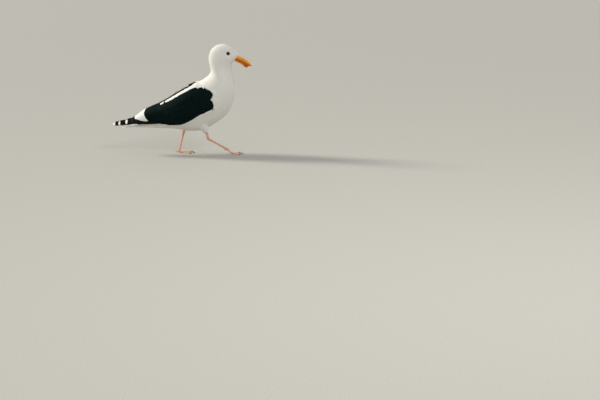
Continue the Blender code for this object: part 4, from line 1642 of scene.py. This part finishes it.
@dataclass
class WingCoat:
    """The slate coverts and scapulars of the folded wings."""

    bird: Bird
    coverts: Table = (
        (0, 2.8, 8.5, 3, 1.8), (0.18, 4.2, 13.5, 4.6, 2.4), (0.36, 6.5, 22, 6.6, 2.8),
        (0.52, 10, 34, 8.6, 2.6), (0.7, 13, 44, 9.6, 2.2), (0.86, 14, 40, 9, 2),
    )
    scapulars: Table = (
        (0, 3, 9.5, 3.6, 1.8), (0.18, 5, 17, 6, 2.2), (0.36, 7.5, 26, 8.6, 2.4),
        (0.52, 10, 36, 10.6, 2.4), (0.7, 13, 44, 12, 2.2),
    )
    # Sizes of the white strip feathers: painted highlights along each ridge, and the scapular crescent.
    pale: Table = ((0.0, 3.2, 12.0, 2.5, 0.8), (1.0, 4.0, 15.0, 2.7, 0.8))
    # The white band along each wing, a painted highlight where the light catches the ridge, with the
    # scapular crescent's white spots at its rear: how far ahead, and the shares of the way down that it lies
    # between.
    highlight_and_crescent: Table = (
        (64, -0.01, 0.12), (54, -0.01, 0.14), (46, 0.07, 0.15), (34, 0.088, 0.155),
        (-38, 0.118, 0.175), (-43, 0.125, 0.165), (-44, 0.3, 0.1), (-51, 0.3, 0.1),
        (-52, 0.12, 0.17), (-56, 0.13, 0.175),
    )
    # The wing's upper front corner: how far ahead, and how high its white feathers' tips begin there.
    pale_corner: Table = (
        (43.9, 400), (44, 217), (56, 220.5), (76, 221.5), (95, 216),
    )
    # White feathers just inside each wing's ridge, a painted highlight on its crest: how far ahead, and the
    # shares of the way down they lie between.
    ridge_highlight: Table = ((30.0, -0.030, -0.012), (-48.0, -0.036, -0.014))
    # Where along the wing coverts and scapulars end, and how far down it they begin and end.
    coverts_to: float = 0.80
    coverts_from: float = 0.30
    scapulars_to: float = 0.68
    scapulars_down: float = 0.42
    scapulars_lift: float = 0.9 * MM
    pale_lift: float = 1.9 * MM
    pale_packing: float = 0.75
    pale_ragged: float = 0.45
    seed: int = 70

    def build(self) -> None:
        """Lays both wings' feathers."""
        finish = SLATE_COAT.material()
        share_out = self.bird.wing.share_out
        low = Tract(self.coverts, (0.005, self.coverts_to), (share_out(self.coverts_from), 0.995))
        down = (0.02, share_out(self.scapulars_down))
        top = Tract(self.scapulars, (0.005, self.scapulars_to), down, self.scapulars_lift)
        bands = [np.array(rows) for rows in (self.highlight_and_crescent, self.ridge_highlight)]
        for number, (name, sheet) in enumerate(self.bird.wings.items()):
            rng = np.random.default_rng(self.seed + number)
            groups = [Vanes.laid(sheet, tract.planted(sheet, rng), COVERT_VANE) for tract in (low, top)]
            for vanes in groups:
                tips = vanes.rings[:, -1].mean(axis=1) / MM
                pale = tips[:, 2] > np.interp(tips[:, 0], *np.array(self.pale_corner).T)
                vanes.white_from = np.where(pale[:, None, None], 0.0, vanes.white_from)
            # White strips: painted highlights along the ridge, and the scapular crescent.
            groups += [self.pale_strip(sheet, band, rng) for band in bands]
            piece(Vanes.merged(groups).mesh("wing_feathers_" + name), finish, Slot.SLATE)

    def pale_strip(self, sheet: Sheet, band: Array, rng: np.random.Generator) -> Vanes:
        """White feathers along a strip of the wing: the painted highlights, and the scapular crescent's
        spots.

        Args:
            sheet: the wing's surface.
            band: rows of how far ahead, and the shares of the way down that the strip lies between.
            rng: the source of their small differences.

        Returns:
            The vanes.
        """
        wing = self.bird.wing
        along = (wing.run_at(band[0, 0]), wing.run_at(band[-1, 0]))
        across = (wing.share_out(band[:, 1].min()), wing.share_out(band[:, 2].max()))
        setting = (self.pale_lift, self.pale_packing, self.pale_ragged)
        roots = Tract(self.pale, along, across, *setting).planted(sheet, rng)
        roots.white_from[:] = 0.0
        ahead = sheet.at(roots.run, roots.turn)[:, 0] / MM
        high, low = (np.interp(-ahead, -band[:, 0], wing.share_out(band[:, k])) for k in (1, 2))
        return Vanes.laid(sheet, roots.kept((roots.turn >= high) & (roots.turn <= low)), COVERT_VANE)


@dataclass
class Tertials:
    """The long inner feathers at each wing's rear, slate with broad white ends.

    Each has its place down the wing, its tip's distance behind, half width and height over the wing. The
    white's front edge is a line: how high, and how far behind it is there. Scallop bends it on each vane.
    """

    bird: Bird
    feathers: Table = (
        (0.87, -160, 9.4, 0.5), (0.68, -166, 10.5, 0.8), (0.48, -161, 11.5, 1.3),
        (0.28, -150, 11.5, 1.8), (0.08, -138, 11, 2.3),
    )
    white_line: Table = (
        (98, -58), (104.7, -74.8), (108.5, -97), (112, -111), (118, -116.5), (124.3, -120),
        (131, -123), (137, -123.5), (144, -121), (150, -118),
    )
    scallop: float = 20.0
    root: float = -62.0
    root_depth: float = 2.0 * MM
    slack: float = 1.04
    tints: Pair = (0.3, 0.6)

    def build(self) -> None:
        """Lays both wings' tertials."""
        finish = SLATE_COAT.material()
        wing = self.bird.wing
        rows = np.array(self.feathers)
        tint = np.linspace(*self.tints, len(rows))
        for name, sheet in self.bird.wings.items():
            run = np.full(len(rows), wing.run_at(self.root))
            turn = wing.share_out(rows[:, 0])
            length = (sheet.at(run, turn)[:, 0] - rows[:, 1] * MM) * self.slack
            height = rows[:, 3] * MM
            roots = Roots(run, turn, length, rows[:, 2] * MM, height - self.root_depth, height, tint)
            vanes = Vanes.laid(sheet, roots, LONG_VANE)
            edge = np.interp(vanes.rings[..., 2] / MM, *np.array(self.white_line).T) * MM
            vanes.white_from = vanes.run + vanes.rings[..., 0] - edge - self.scallop * vanes.off ** 2
            piece(vanes.mesh("tertial_feathers_" + name, True), finish, Slot.WHITE, "tertials_" + name)


@dataclass
class Primaries:
    """The black, white-tipped ends of each folded wing, stacked over the tail.

    The path's rows are a middle point, and how far the blades' upper edges lean to the bird's middle. Each
    feather has its tip's distance behind, half width, how far up it sits, its white end's length, and where
    along the path its root is.
    """

    path: Table = (
        (-58, 39, 106.5, 20), (-92, 35, 104.6, 22), (-128, 27.5, 104, 30), (-154, 21, 105.6, 36),
        (-176, 16.5, 102.6, 40), (-198, 12.5, 100, 38), (-216, 9.8, 98, 30), (-227.2, 8.2, 97, 28),
    )
    NO_WHITE = -9.0  # a white end's length that leaves the feather without one
    feathers: Table = (
        (-227.4, 6.6, 0, 8, 0), (-225.5, 7, 0.3, 7, 0.05), (-209, 8.8, 1, 8, 0.10),
        (-185.5, 10.4, 3.4, 8, 0.16), (-165.0, 12.8, 4.8, NO_WHITE, 0.24),
        (-150.0, 12.0, 3.8, NO_WHITE, 0.30),
    )
    reach: float = 14.0
    rows: int = 120
    stacking: float = 0.5 * MM
    root_depth: float = 5.0 * MM
    tints: Pair = (0.2, 0.8)

    def sheet(self, side: float) -> Sheet:
        """The surface that the blades lie on: flat across, along the path.

        Args:
            side: 1 for the left wing, -1 for the right.

        Returns:
            The surface.
        """
        rows = spline(self.path, self.rows)
        lean = np.radians(rows[:, 3])
        up = np.stack([np.zeros(len(lean)), -np.sin(lean), np.cos(lean)], axis=1)
        across = np.linspace(-self.reach, self.reach, 29)
        points = rows[:, None, :3] + up[:, None] * across[None, :, None]
        return Sheet(points * MM * [1.0, side, 1.0], False, np.array([0.0, -side, -1.0]))

    def build(self) -> None:
        """Lays both wings' blades."""
        finish = BLACK_COAT.material()
        rows = np.array(self.feathers)
        for name, side in SIDES.items():
            sheet = self.sheet(side)
            behind = spline(self.path, self.rows)[:, 0]
            end = np.interp(-rows[:, 0], -behind, np.linspace(0.0, 1.0, self.rows))
            run = rows[:, 4]
            turn = 0.5 + rows[:, 2] / (2 * self.reach)
            length = (end - run) * sheet.pace(run, turn)
            height = np.arange(len(rows)) * self.stacking
            roots = Roots(
                run, turn, length, rows[:, 1] * MM, height - self.root_depth, height,
                np.linspace(*self.tints, len(rows)), white_from=length - rows[:, 3] * MM,
            )
            mesh = Vanes.laid(sheet, roots, BLADE_VANE).mesh("primary_feathers_" + name, True)
            piece(mesh, finish, Slot.BLACK, "primaries_" + name)


@dataclass
class Tail:
    """Twelve white tail feathers in a narrow fan, the middle pair on top."""

    # The fan's middle line: how far behind and how high.
    line: Table = (
        (-118, 97), (-134, 94), (-154, 92.2), (-172, 90.9), (-192, 90), (-203, 89.7),
    )
    half_width: float = 30.0
    sag: float = 1.3
    pairs: int = 6
    root_step: float = 1.5
    tip_step: float = 3.85
    vane_half_width: float = 6.4
    length: float = 80.0
    shortening: float = 0.14
    root: float = 0.03
    tip_height: float = 0.6 * MM
    stacking: float = 0.38 * MM
    tints: Pair = (0.35, 0.65)

    def build(self) -> None:
        """Lays the fan."""
        rows = spline(self.line, 60)
        across = np.linspace(-1.0, 1.0, 41)
        x, y = np.broadcast_arrays(rows[:, :1], across * self.half_width)
        z = rows[:, 1:] - self.sag * across ** 2
        sheet = Sheet(np.stack([x, y, z], axis=-1) * MM, False, np.array([0.0, 0.0, -1.0]))
        order = np.arange(self.pairs)[::-1]
        aside = np.concatenate([-(order + 0.5), order + 0.5])
        rank = np.abs(aside) - 0.5
        swing = np.arctan2(aside * (self.tip_step - self.root_step), self.length)
        turn = 0.5 + aside * self.root_step / (2 * self.half_width)
        length = (self.length - self.shortening * rank ** 2) * MM
        heights = (-rank * self.stacking, self.tip_height - rank * self.stacking)
        tint = np.linspace(*self.tints, len(aside))
        roots = Roots(self.root, turn, length, self.vane_half_width * MM, *heights, tint, swing)
        mesh = Vanes.laid(sheet, roots, LONG_VANE).mesh("tail_feathers")
        piece(mesh, WHITE_COAT.material(), Slot.WHITE, "tail")


@dataclass
class Bill:
    """Both halves of the bill, from the feather line to the hook."""

    culmen: Table = (
        (182.8, 318.9), (195, 314.4), (206.5, 308), (216, 300.6), (223.2, 292.8), (227.2, 286),
    )
    upper_edge: Table = (
        (175.6, 308.3), (187, 302.8), (198.5, 296.8), (208.5, 292), (218, 288.2), (226.2, 285.2),
    )
    lower_edge: Table = (
        (175.2, 307.6), (185, 302.6), (195, 297.4), (204, 292.9), (212, 289.4), (219.3, 286.8),
    )
    keel: Table = (
        (169.9, 302.2), (181, 297.4), (192, 292), (202, 284.8), (208.5, 281), (218.2, 285),
    )
    upper_half_widths: tuple[float, ...] = (8.4, 7.6, 6.6, 5.4, 3.8, 0.8)
    lower_half_widths: tuple[float, ...] = (7.8, 6.8, 5.8, 4.8, 3.6, 0.8)
    lower_narrowing: float = 0.97
    root: float = 3.0
    overbite: Pair = (0.35, 0.75)
    # Powers that shape a slice's arch, and how its inner wall rises over the edge and narrows.
    arch: Pair = (2.2, 0.6)
    floor: Pair = (0.05, 0.8)
    # The nostril: how far ahead and up, its slope, its hollow's size and depth, and the size of the painted
    # shade in it.
    nostril: Place = (198.5, 306.6, -0.42)
    nostril_size: Pair = (4.2, 1.0)
    nostril_depth: float = 1.5
    nostril_shade: Pair = (3.4, 0.8)
    spot: Pair = (206.5, 285.6)
    spot_size: Pair = (8.4, 5.4)
    axis: Table = ((176.0, 310.0), (224.0, 288.0))
    base: Colour = (0.90, 0.29, 0.005)
    tip: Colour = (0.86, 0.33, 0.012)
    red: Colour = (0.74, 0.045, 0.005)
    # How strong the painted highlight along the upper half's ridge is.
    wear_and_highlight: float = 0.6
    stations: int = 64
    across: int = 45
    inside: int = 9

    def arched(self) -> tuple[Array, Array]:
        """Where a slice's points lie aside, from -1 to 1, and how far from edge to ridge, from 0 to 1."""
        w = np.sin(np.linspace(-math.pi / 2, math.pi / 2, self.across))
        rise, narrow = self.floor
        inner = np.linspace(narrow, -narrow, self.inside)
        over = (1 - np.abs(w) ** self.arch[0]) ** self.arch[1]
        return np.concatenate([w, inner]), np.concatenate([over, np.full(self.inside, rise)])

    @staticmethod
    def upright(ahead: float | Array, up: float | Array) -> Array:
        """Points in the bird's upright plane."""
        return np.stack([ahead, np.zeros_like(ahead), up], axis=-1)

    def shell(self, ridge: Sequence, edge: Sequence, half_widths: Sequence) -> Array:
        """Closed slices of one half.

        Over the ridge a point is edge + (1 - |w|^2.2)^0.6 * (ridge - edge) + w * half width to the side.

        Args:
            ridge: points along the culmen or keel.
            edge: points along the cutting edge.
            half_widths: half the width at each.

        Returns:
            (stations, points round, 3) points in millimetres.
        """
        rows = np.column_stack([ridge, edge, half_widths])
        way = rows[0, :4] - rows[1, :4]
        start = np.concatenate([rows[0, :4] + way / np.linalg.norm(way[:2]) * self.root, rows[0, 4:] * 0.98])
        rows = spline(np.concatenate([[start], rows]), self.stations)
        aside, rise = self.arched()
        ridges, edges = (self.upright(rows[:, k], rows[:, k + 1])[:, None] for k in (0, 2))
        wide = rows[:, 4][:, None, None] * np.array([0.0, 1.0, 0.0])
        return edges + rise[None, :, None] * (ridges - edges) + aside[None, :, None] * wide

    def build(self) -> None:
        """Makes both halves, with a hollow for the nostril in the upper one."""
        upper = self.shell(self.culmen, self.upper_edge, self.upper_half_widths)
        closed = np.array(self.lower_edge) + self.overbite
        lower = self.shell(self.keel, closed, np.array(self.lower_half_widths) * self.lower_narrowing)
        x, y, z = np.moveaxis(upper, -1, 0)
        ahead, rise, slope = self.nostril
        run = ((x - ahead) + (z - rise) * slope) / math.hypot(1, slope)
        up = ((z - rise) - (x - ahead) * slope) / math.hypot(1, slope)
        hollow = np.exp(-(run / self.nostril_size[0]) ** 4 - (up / self.nostril_size[1]) ** 2)
        upper[..., 1] -= np.sign(y) * np.minimum(np.abs(y), self.nostril_depth * hollow)
        at = [tuple(self.upright(*place) * MM) for place in (*self.axis, self.spot, self.nostril[:2])]
        sizes = [tuple(np.array(size) * MM) for size in (self.spot_size, self.nostril_shade)]
        shared = (self.base, self.tip, self.red, *at[:3], sizes[0])
        top = Horn("bill_horn_upper", *shared, at[3], sizes[1], self.wear_and_highlight)
        low = Horn("bill_horn_lower", *shared)
        for name, rings, finish in (("upper", upper, top), ("lower", lower, low)):
            mesh = mesh_of("bill_" + name + "_horn", *form_of(rings * MM))
            mark(mesh, "rise", np.tile(self.arched()[1], self.stations))
            piece(mesh, finish.material(), Slot.BILL, "bill_" + name)


@dataclass
class Eyes:
    """The eyeballs and their lids."""

    bird: Bird
    opening: float = 34.5
    lid_reach: float = 62.0
    bare: float = 6.1 * MM
    pupil: float = 3.0 * MM
    iris: float = 5.2 * MM
    cornea: float = 0.03
    # The lids' section from the opening outwards and back under: share of the reach, and height in mm.
    lid_section: Table = (
        (0, 0.25), (0.04, 0.52), (0.12, 0.66), (0.22, 0.60), (0.35, 0.72), (0.5, 0.66),
        (0.7, 0.5), (1, 0.1), (0.7, -0.3), (0.35, -0.3), (0.12, -0.2), (0.03, 0),
    )
    skin: tuple[Colour, Colour] = ((0.34, 0.17, 0.045), (0.15, 0.07, 0.02))
    segments: int = 72

    def turned(self, local: Array, name: str) -> Array:
        """Places given as (fore, up, out) from the eye's middle, in the bird's frame."""
        middle, _, out, _ = self.bird.eyes[name]
        fore = unit(np.cross(out, [0.0, 0.0, 1.0])) * SIDES[name]
        up = np.cross(fore, out) * SIDES[name]
        return middle + local[..., :1] * fore + local[..., 1:2] * up + local[..., 2:] * out

    @staticmethod
    def polar(angle: Array, turn: Array, size: Array) -> Array:
        """Places (fore, up, out) at an angle from the outward way, a turn round it and a distance."""
        parts = (np.sin(angle) * np.cos(turn), np.sin(angle) * np.sin(turn), np.cos(angle) + 0 * turn)
        return np.stack([size * part for part in parts], axis=-1)

    def ball(self, radius: float) -> Array:
        """Rings of an eyeball from front pole to back pole, the cornea bulging a little."""
        angle = np.linspace(0.02, math.pi - 0.02, 44)[:, None]
        turn = np.linspace(0.0, 2 * math.pi, self.segments, endpoint=False)[None]
        return self.polar(angle, turn, radius * (1 + self.cornea * np.exp(-(angle / math.radians(30)) ** 2)))

    def lid(self, radius: float) -> Array:
        """Closed slices of the lids, round the opening: a rounded rim that thins away from the eye.

        Args:
            radius: the eyeball's.

        Returns:
            (slices, around, 3) places as (fore, up, out).
        """
        turn = np.linspace(0.0, 2 * math.pi, self.segments, endpoint=False)[:, None]
        start = np.radians(self.opening) * (1 + 0.09 * np.cos(2 * turn) - 0.03 * np.sin(turn))
        share, height = np.array(self.lid_section).T
        angle = start + (np.radians(self.lid_reach) - start) * share
        folds = 1 + 0.004 * np.sin(turn * 17) * np.sin(share * math.pi)
        return self.polar(angle, turn, (radius + height * MM) * folds)

    def build(self) -> None:
        """Makes both eyes and their lids."""
        for name in SIDES:
            middle, radius, outward, _ = self.bird.eyes[name]
            look = (tuple(middle), tuple(outward))
            glass = EyeGlass("eye_" + name + "_finish", *look, self.pupil, self.iris)
            ball = mesh_of("eyeball_" + name, *form_of(self.turned(self.ball(radius), name)))
            piece(ball, glass.material(), Slot.EYE, "eye_" + name)
            lids = LidSkin("eyelid_skin_" + name, *self.skin, *look, self.bare)
            mesh = mesh_of("eyelid_" + name, *form_of(self.turned(self.lid(radius), name), True))
            piece(mesh, lids.material(), Slot.WHITE)


@dataclass
class Foot:
    """A bare leg and webbed foot as one surface, and its claws. Sizes are millimetres."""

    leg: LegForm
    toe_lengths: Place = (42.0, 46.0, 42.0)
    toe_spread: float = 25.0
    toe_half_width: float = 3.0
    toe_height: float = 4.6
    toe_narrowing: float = 0.30
    toe_lowering: float = 0.38
    joint_swelling: float = 0.10
    joint_spacing: float = 13.5
    web: float = 1.1
    web_notch: float = 0.19
    outer_edge: float = 1.15
    hind_toe: float = 9.5
    hind_drop: float = 1.2
    knuckle_radius: float = 4.1
    claw: Table = ((0.0, 0.0, 1.55), (3.575, 0.45, 1.15), (7.4, -1.35, 0.22))
    hind_claw: Table = ((0.0, 0.0, 0.95), (1.6, -0.3, 0.7), (3.0, -1.3, 0.15))
    claw_height: float = 1.9
    claw_inset: Pair = (0.8, 0.6)
    # The leg's colour, and the darker one for its cloudy tone and painted shade in its creases.
    skin: tuple[Colour, Colour] = ((0.80, 0.45, 0.28), (0.60, 0.29, 0.17))
    horn: tuple[Colour, Colour] = ((0.025, 0.018, 0.015), (0.10, 0.07, 0.05))
    voxel: float = 0.45 * MM
    smoothing: int = 2

    def way(self, turn: Array | float) -> Array:
        """The level direction of a toe or web, from -1 at the right toe to 1 at the left one."""
        angle = np.radians(self.leg.toe_in + np.asarray(turn, float) * self.toe_spread)
        return np.stack([np.cos(angle), np.sin(angle), np.zeros_like(angle)], axis=-1)

    def lift(self, distance: Array | float) -> Array | float:
        """How far a toe's underside is off the floor at a distance from the knuckle."""
        if not self.leg.flat_from:
            return distance * 0.0
        return self.leg.heel_lift * np.clip(1 - distance / self.leg.flat_from, 0.0, 1.0) ** 1.5

    def sole(self) -> Array:
        """Closed slices of the toes and webs, each slice the same share of the way out.

        The top is the web's thickness, plus a half round along each toe that swells at its joints.

        Returns:
            (slices, around, 3) points in millimetres.
        """
        turns = np.linspace(-self.outer_edge, self.outer_edge, 121)
        from_toe = np.abs(turns - np.clip(np.round(turns), -1, 1))
        reach = np.interp(turns, (-1, 0, 1), self.toe_lengths)
        reach = reach * (1 - self.web_notch * np.sin(math.pi * np.clip(from_toe, 0, 0.5)) ** 0.7)
        out = np.linspace(0.05, 1.0, 70)[:, None]
        distance = reach * out
        aside = from_toe * math.radians(self.toe_spread) * distance
        joints = 1 + self.joint_swelling * np.cos(2 * math.pi * distance / self.joint_spacing)
        half_width = self.toe_half_width * (1 - self.toe_narrowing * out) * joints
        toe = np.clip(1 - (aside / half_width) ** 2, 0.0, 1.0) ** 0.5
        web = self.web * (0.75 + 0.35 * np.sin(math.pi * from_toe * 2) * np.sin(distance * 1.3) ** 2)
        height = web + (self.toe_height * (1 - self.toe_lowering * out) * joints - web) * toe
        level = self.way(turns)[None] * distance[..., None] + [*self.leg.knuckle[:2], 0.0]
        level[..., 2] = self.lift(distance)
        top = level.copy()
        top[..., 2] += height
        return np.concatenate([top, level[:, ::-1]], axis=1)

    def shank(self) -> Array:
        """Slices of the bare shin, ankle and tarsus."""
        leg = self.leg
        path = [leg.between(leg.sleeve_end, leg.knee, 0.25), leg.sleeve_end, leg.ankle]
        path += [leg.between(leg.ankle, leg.knuckle, share) for share in (0.16, 0.5, 0.88)]
        radii = (3.4, 3.5, leg.ankle_radius, *(leg.tarsus_radius + more for more in (0.4, 0.0, 0.3)))
        return tube(path, radii, 150, 40)

    def joints(self) -> list[Array]:
        """Slices of the knuckle under the tarsus and of the small raised hind toe."""
        leg, way, tip = self.leg, self.way(0.0), self.hind_tip()
        top = leg.between(leg.knuckle, leg.ankle, 0.16)
        low = np.array([*leg.knuckle[:2], self.lift(0.0) + 2.3]) + way * 5.0
        back = tip + way * self.hind_toe + [0.0, 0.0, self.hind_drop]
        knob = tube((top, leg.knuckle, low), (leg.tarsus_radius + 0.2, self.knuckle_radius, 2.2), 30, 32)
        return [knob, tube((back, back - way * 5.0, tip), (2.3, 1.9, 1.3), 20, 24)]

    def hind_tip(self) -> Array:
        """Where the hind toe ends."""
        up = unit(np.array(self.leg.ankle) - self.leg.knuckle)
        root = np.array(self.leg.knuckle) - up * 0.5
        return root - self.way(0.0) * self.hind_toe - [0.0, 0.0, self.hind_drop]

    @staticmethod
    def curved(rows: Table, root: Array, way: Array, count: int, around: int) -> Form:
        """A claw from its root in a level direction: curved, round and pointed.

        Args:
            rows: how far ahead of the root and up each point of the path is, and the radius there.
            root: where it grows.
            way: the direction.
            count: how many slices.
            around: points in each slice.

        Returns:
            The claw.
        """
        ahead, up, radii = np.array(rows).T[..., None]
        return form_of(tube(root + ahead * way + up * [0.0, 0.0, 1.0], radii[:, 0], count, around) * MM)

    def claws(self) -> Form:
        """The claws of the three front toes and the hind toe."""
        forms = []
        for turn, length in zip((-1.0, 0.0, 1.0), self.toe_lengths):
            way = self.way(turn)
            root = [*self.leg.knuckle[:2], self.claw_height] + way * (length - self.claw_inset[0])
            forms.append(self.curved(self.claw, root, way, 24, 20))
        way = -self.way(0.0)
        root = self.hind_tip() - way * self.claw_inset[1]
        return joined([*forms, self.curved(self.hind_claw, root, way, 16, 16)])

    def build(self) -> None:
        """Makes the leg and its claws."""
        leg = self.leg
        forms = [form_of(rings * MM) for rings in (self.sole(), self.shank(), *self.joints())]
        mesh = fused("leg_" + leg.side, forms, self.voxel, self.smoothing)
        places = points_of(mesh)
        places[:, 2] = np.maximum(places[:, 2], 0.0)
        mesh.vertices.foreach_set("co", places.astype(np.float32).ravel())
        start, end = (tuple(np.array(joint) * MM) for joint in (leg.knuckle, leg.ankle))
        skin = LegSkin("leg_skin_" + leg.side, *self.skin, start, end)
        piece(mesh, skin.material(), Slot.LEG, "shank_" + leg.side, "foot_" + leg.side)
        claws = mesh_of("claws_" + leg.side, *self.claws())
        nodes = [f"claw_{toe}_{leg.side}" for toe in ("left", "middle", "right")]
        piece(claws, ClawHorn("claw_horn_" + leg.side, *self.horn).material(), Slot.CLAW, *nodes)


# ---- the studio


@dataclass
class Studio:
    """A plain pale floor, a soft low sun from behind, an even sky, a near lamp and the camera."""

    floor_size: float = 60.0
    floor_colours: tuple[Colour, Colour] = ((0.41, 0.40, 0.355), (0.46, 0.45, 0.40))
    sun_from: Pair = (160.0, 28.0)
    sun_strength: float = 3.3
    sun_softness: float = 14.0
    sun_colour: Colour = (1.0, 0.965, 0.90)
    sky_strength: float = 0.63
    sky_colour: Colour = (0.97, 0.975, 1.0)
    lamp_at: Place = (1.3, -2.3, 1.9)
    lamp_size: float = 0.6
    lamp_power: float = 18.0
    camera_at: Place = (0.3826, -4.5829, 0.7795)
    camera_down: float = 11.55
    lens: float = 85.02
    film_width: float = 36.0
    far: float = 200.0

    def floor(self) -> None:
        """Lays the floor."""
        corners = np.array([(-0.5, -0.5, 0.0), (0.5, -0.5, 0.0), (0.5, 0.5, 0.0), (-0.5, 0.5, 0.0)])
        mesh = mesh_of("floor", corners * self.floor_size, [np.arange(4)[None]])
        mesh.materials.append(FloorFinish("floor_finish", *self.floor_colours).material())
        shown("floor", mesh)

    def lights(self) -> None:
        """Sets up sun, lamp and sky."""
        sun = bpy.data.lights.new("sun", "SUN")
        sun.energy, sun.color = self.sun_strength, self.sun_colour
        sun.angle = math.radians(self.sun_softness)
        azimuth, height = (math.radians(angle) for angle in self.sun_from)
        level = math.cos(height)
        way = Vector((math.cos(azimuth) * level, math.sin(azimuth) * level, math.sin(height)))
        shown("sun", sun).rotation_euler = way.to_track_quat("Z", "Y").to_euler()
        soft = bpy.data.lights.new("lamp", "AREA")
        soft.size, soft.energy = self.lamp_size, self.lamp_power
        lamp = shown("lamp", soft)
        lamp.location = self.lamp_at
        lamp.rotation_euler = Vector(self.lamp_at).to_track_quat("Z", "Y").to_euler()
        world = bpy.data.worlds.new("sky")
        world.use_nodes = True
        back = world.node_tree.nodes["Background"]
        back.inputs["Color"].default_value = (*self.sky_colour, 1.0)
        back.inputs["Strength"].default_value = self.sky_strength
        bpy.context.scene.world = world

    def build(self) -> None:
        """Sets up floor, lights and camera."""
        self.floor()
        self.lights()
        view = bpy.data.cameras.new("camera")
        view.lens, view.sensor_width, view.clip_end = self.lens, self.film_width, self.far
        camera = shown("camera", view)
        camera.location = self.camera_at
        camera.rotation_euler = (math.radians(90.0 - self.camera_down), 0.0, 0.0)
        bpy.context.scene.camera = camera
        bpy.context.scene.view_settings.view_transform = "Standard"


def main() -> None:
    """Builds the studio and every piece of the bird."""
    logging.basicConfig(level=logging.INFO, format="%(name)s: %(message)s")
    Studio().build()
    bird = Bird()
    Skin(bird).build()
    for part in (BodyCoat, ThighCoat, WingCoat, Tertials, Eyes):
        part(bird).build()
    for part in (Primaries, Tail, Bill):
        part().build()
    for leg in LEGS:
        Foot(leg).build()


if __name__ == "__main__":
    main()
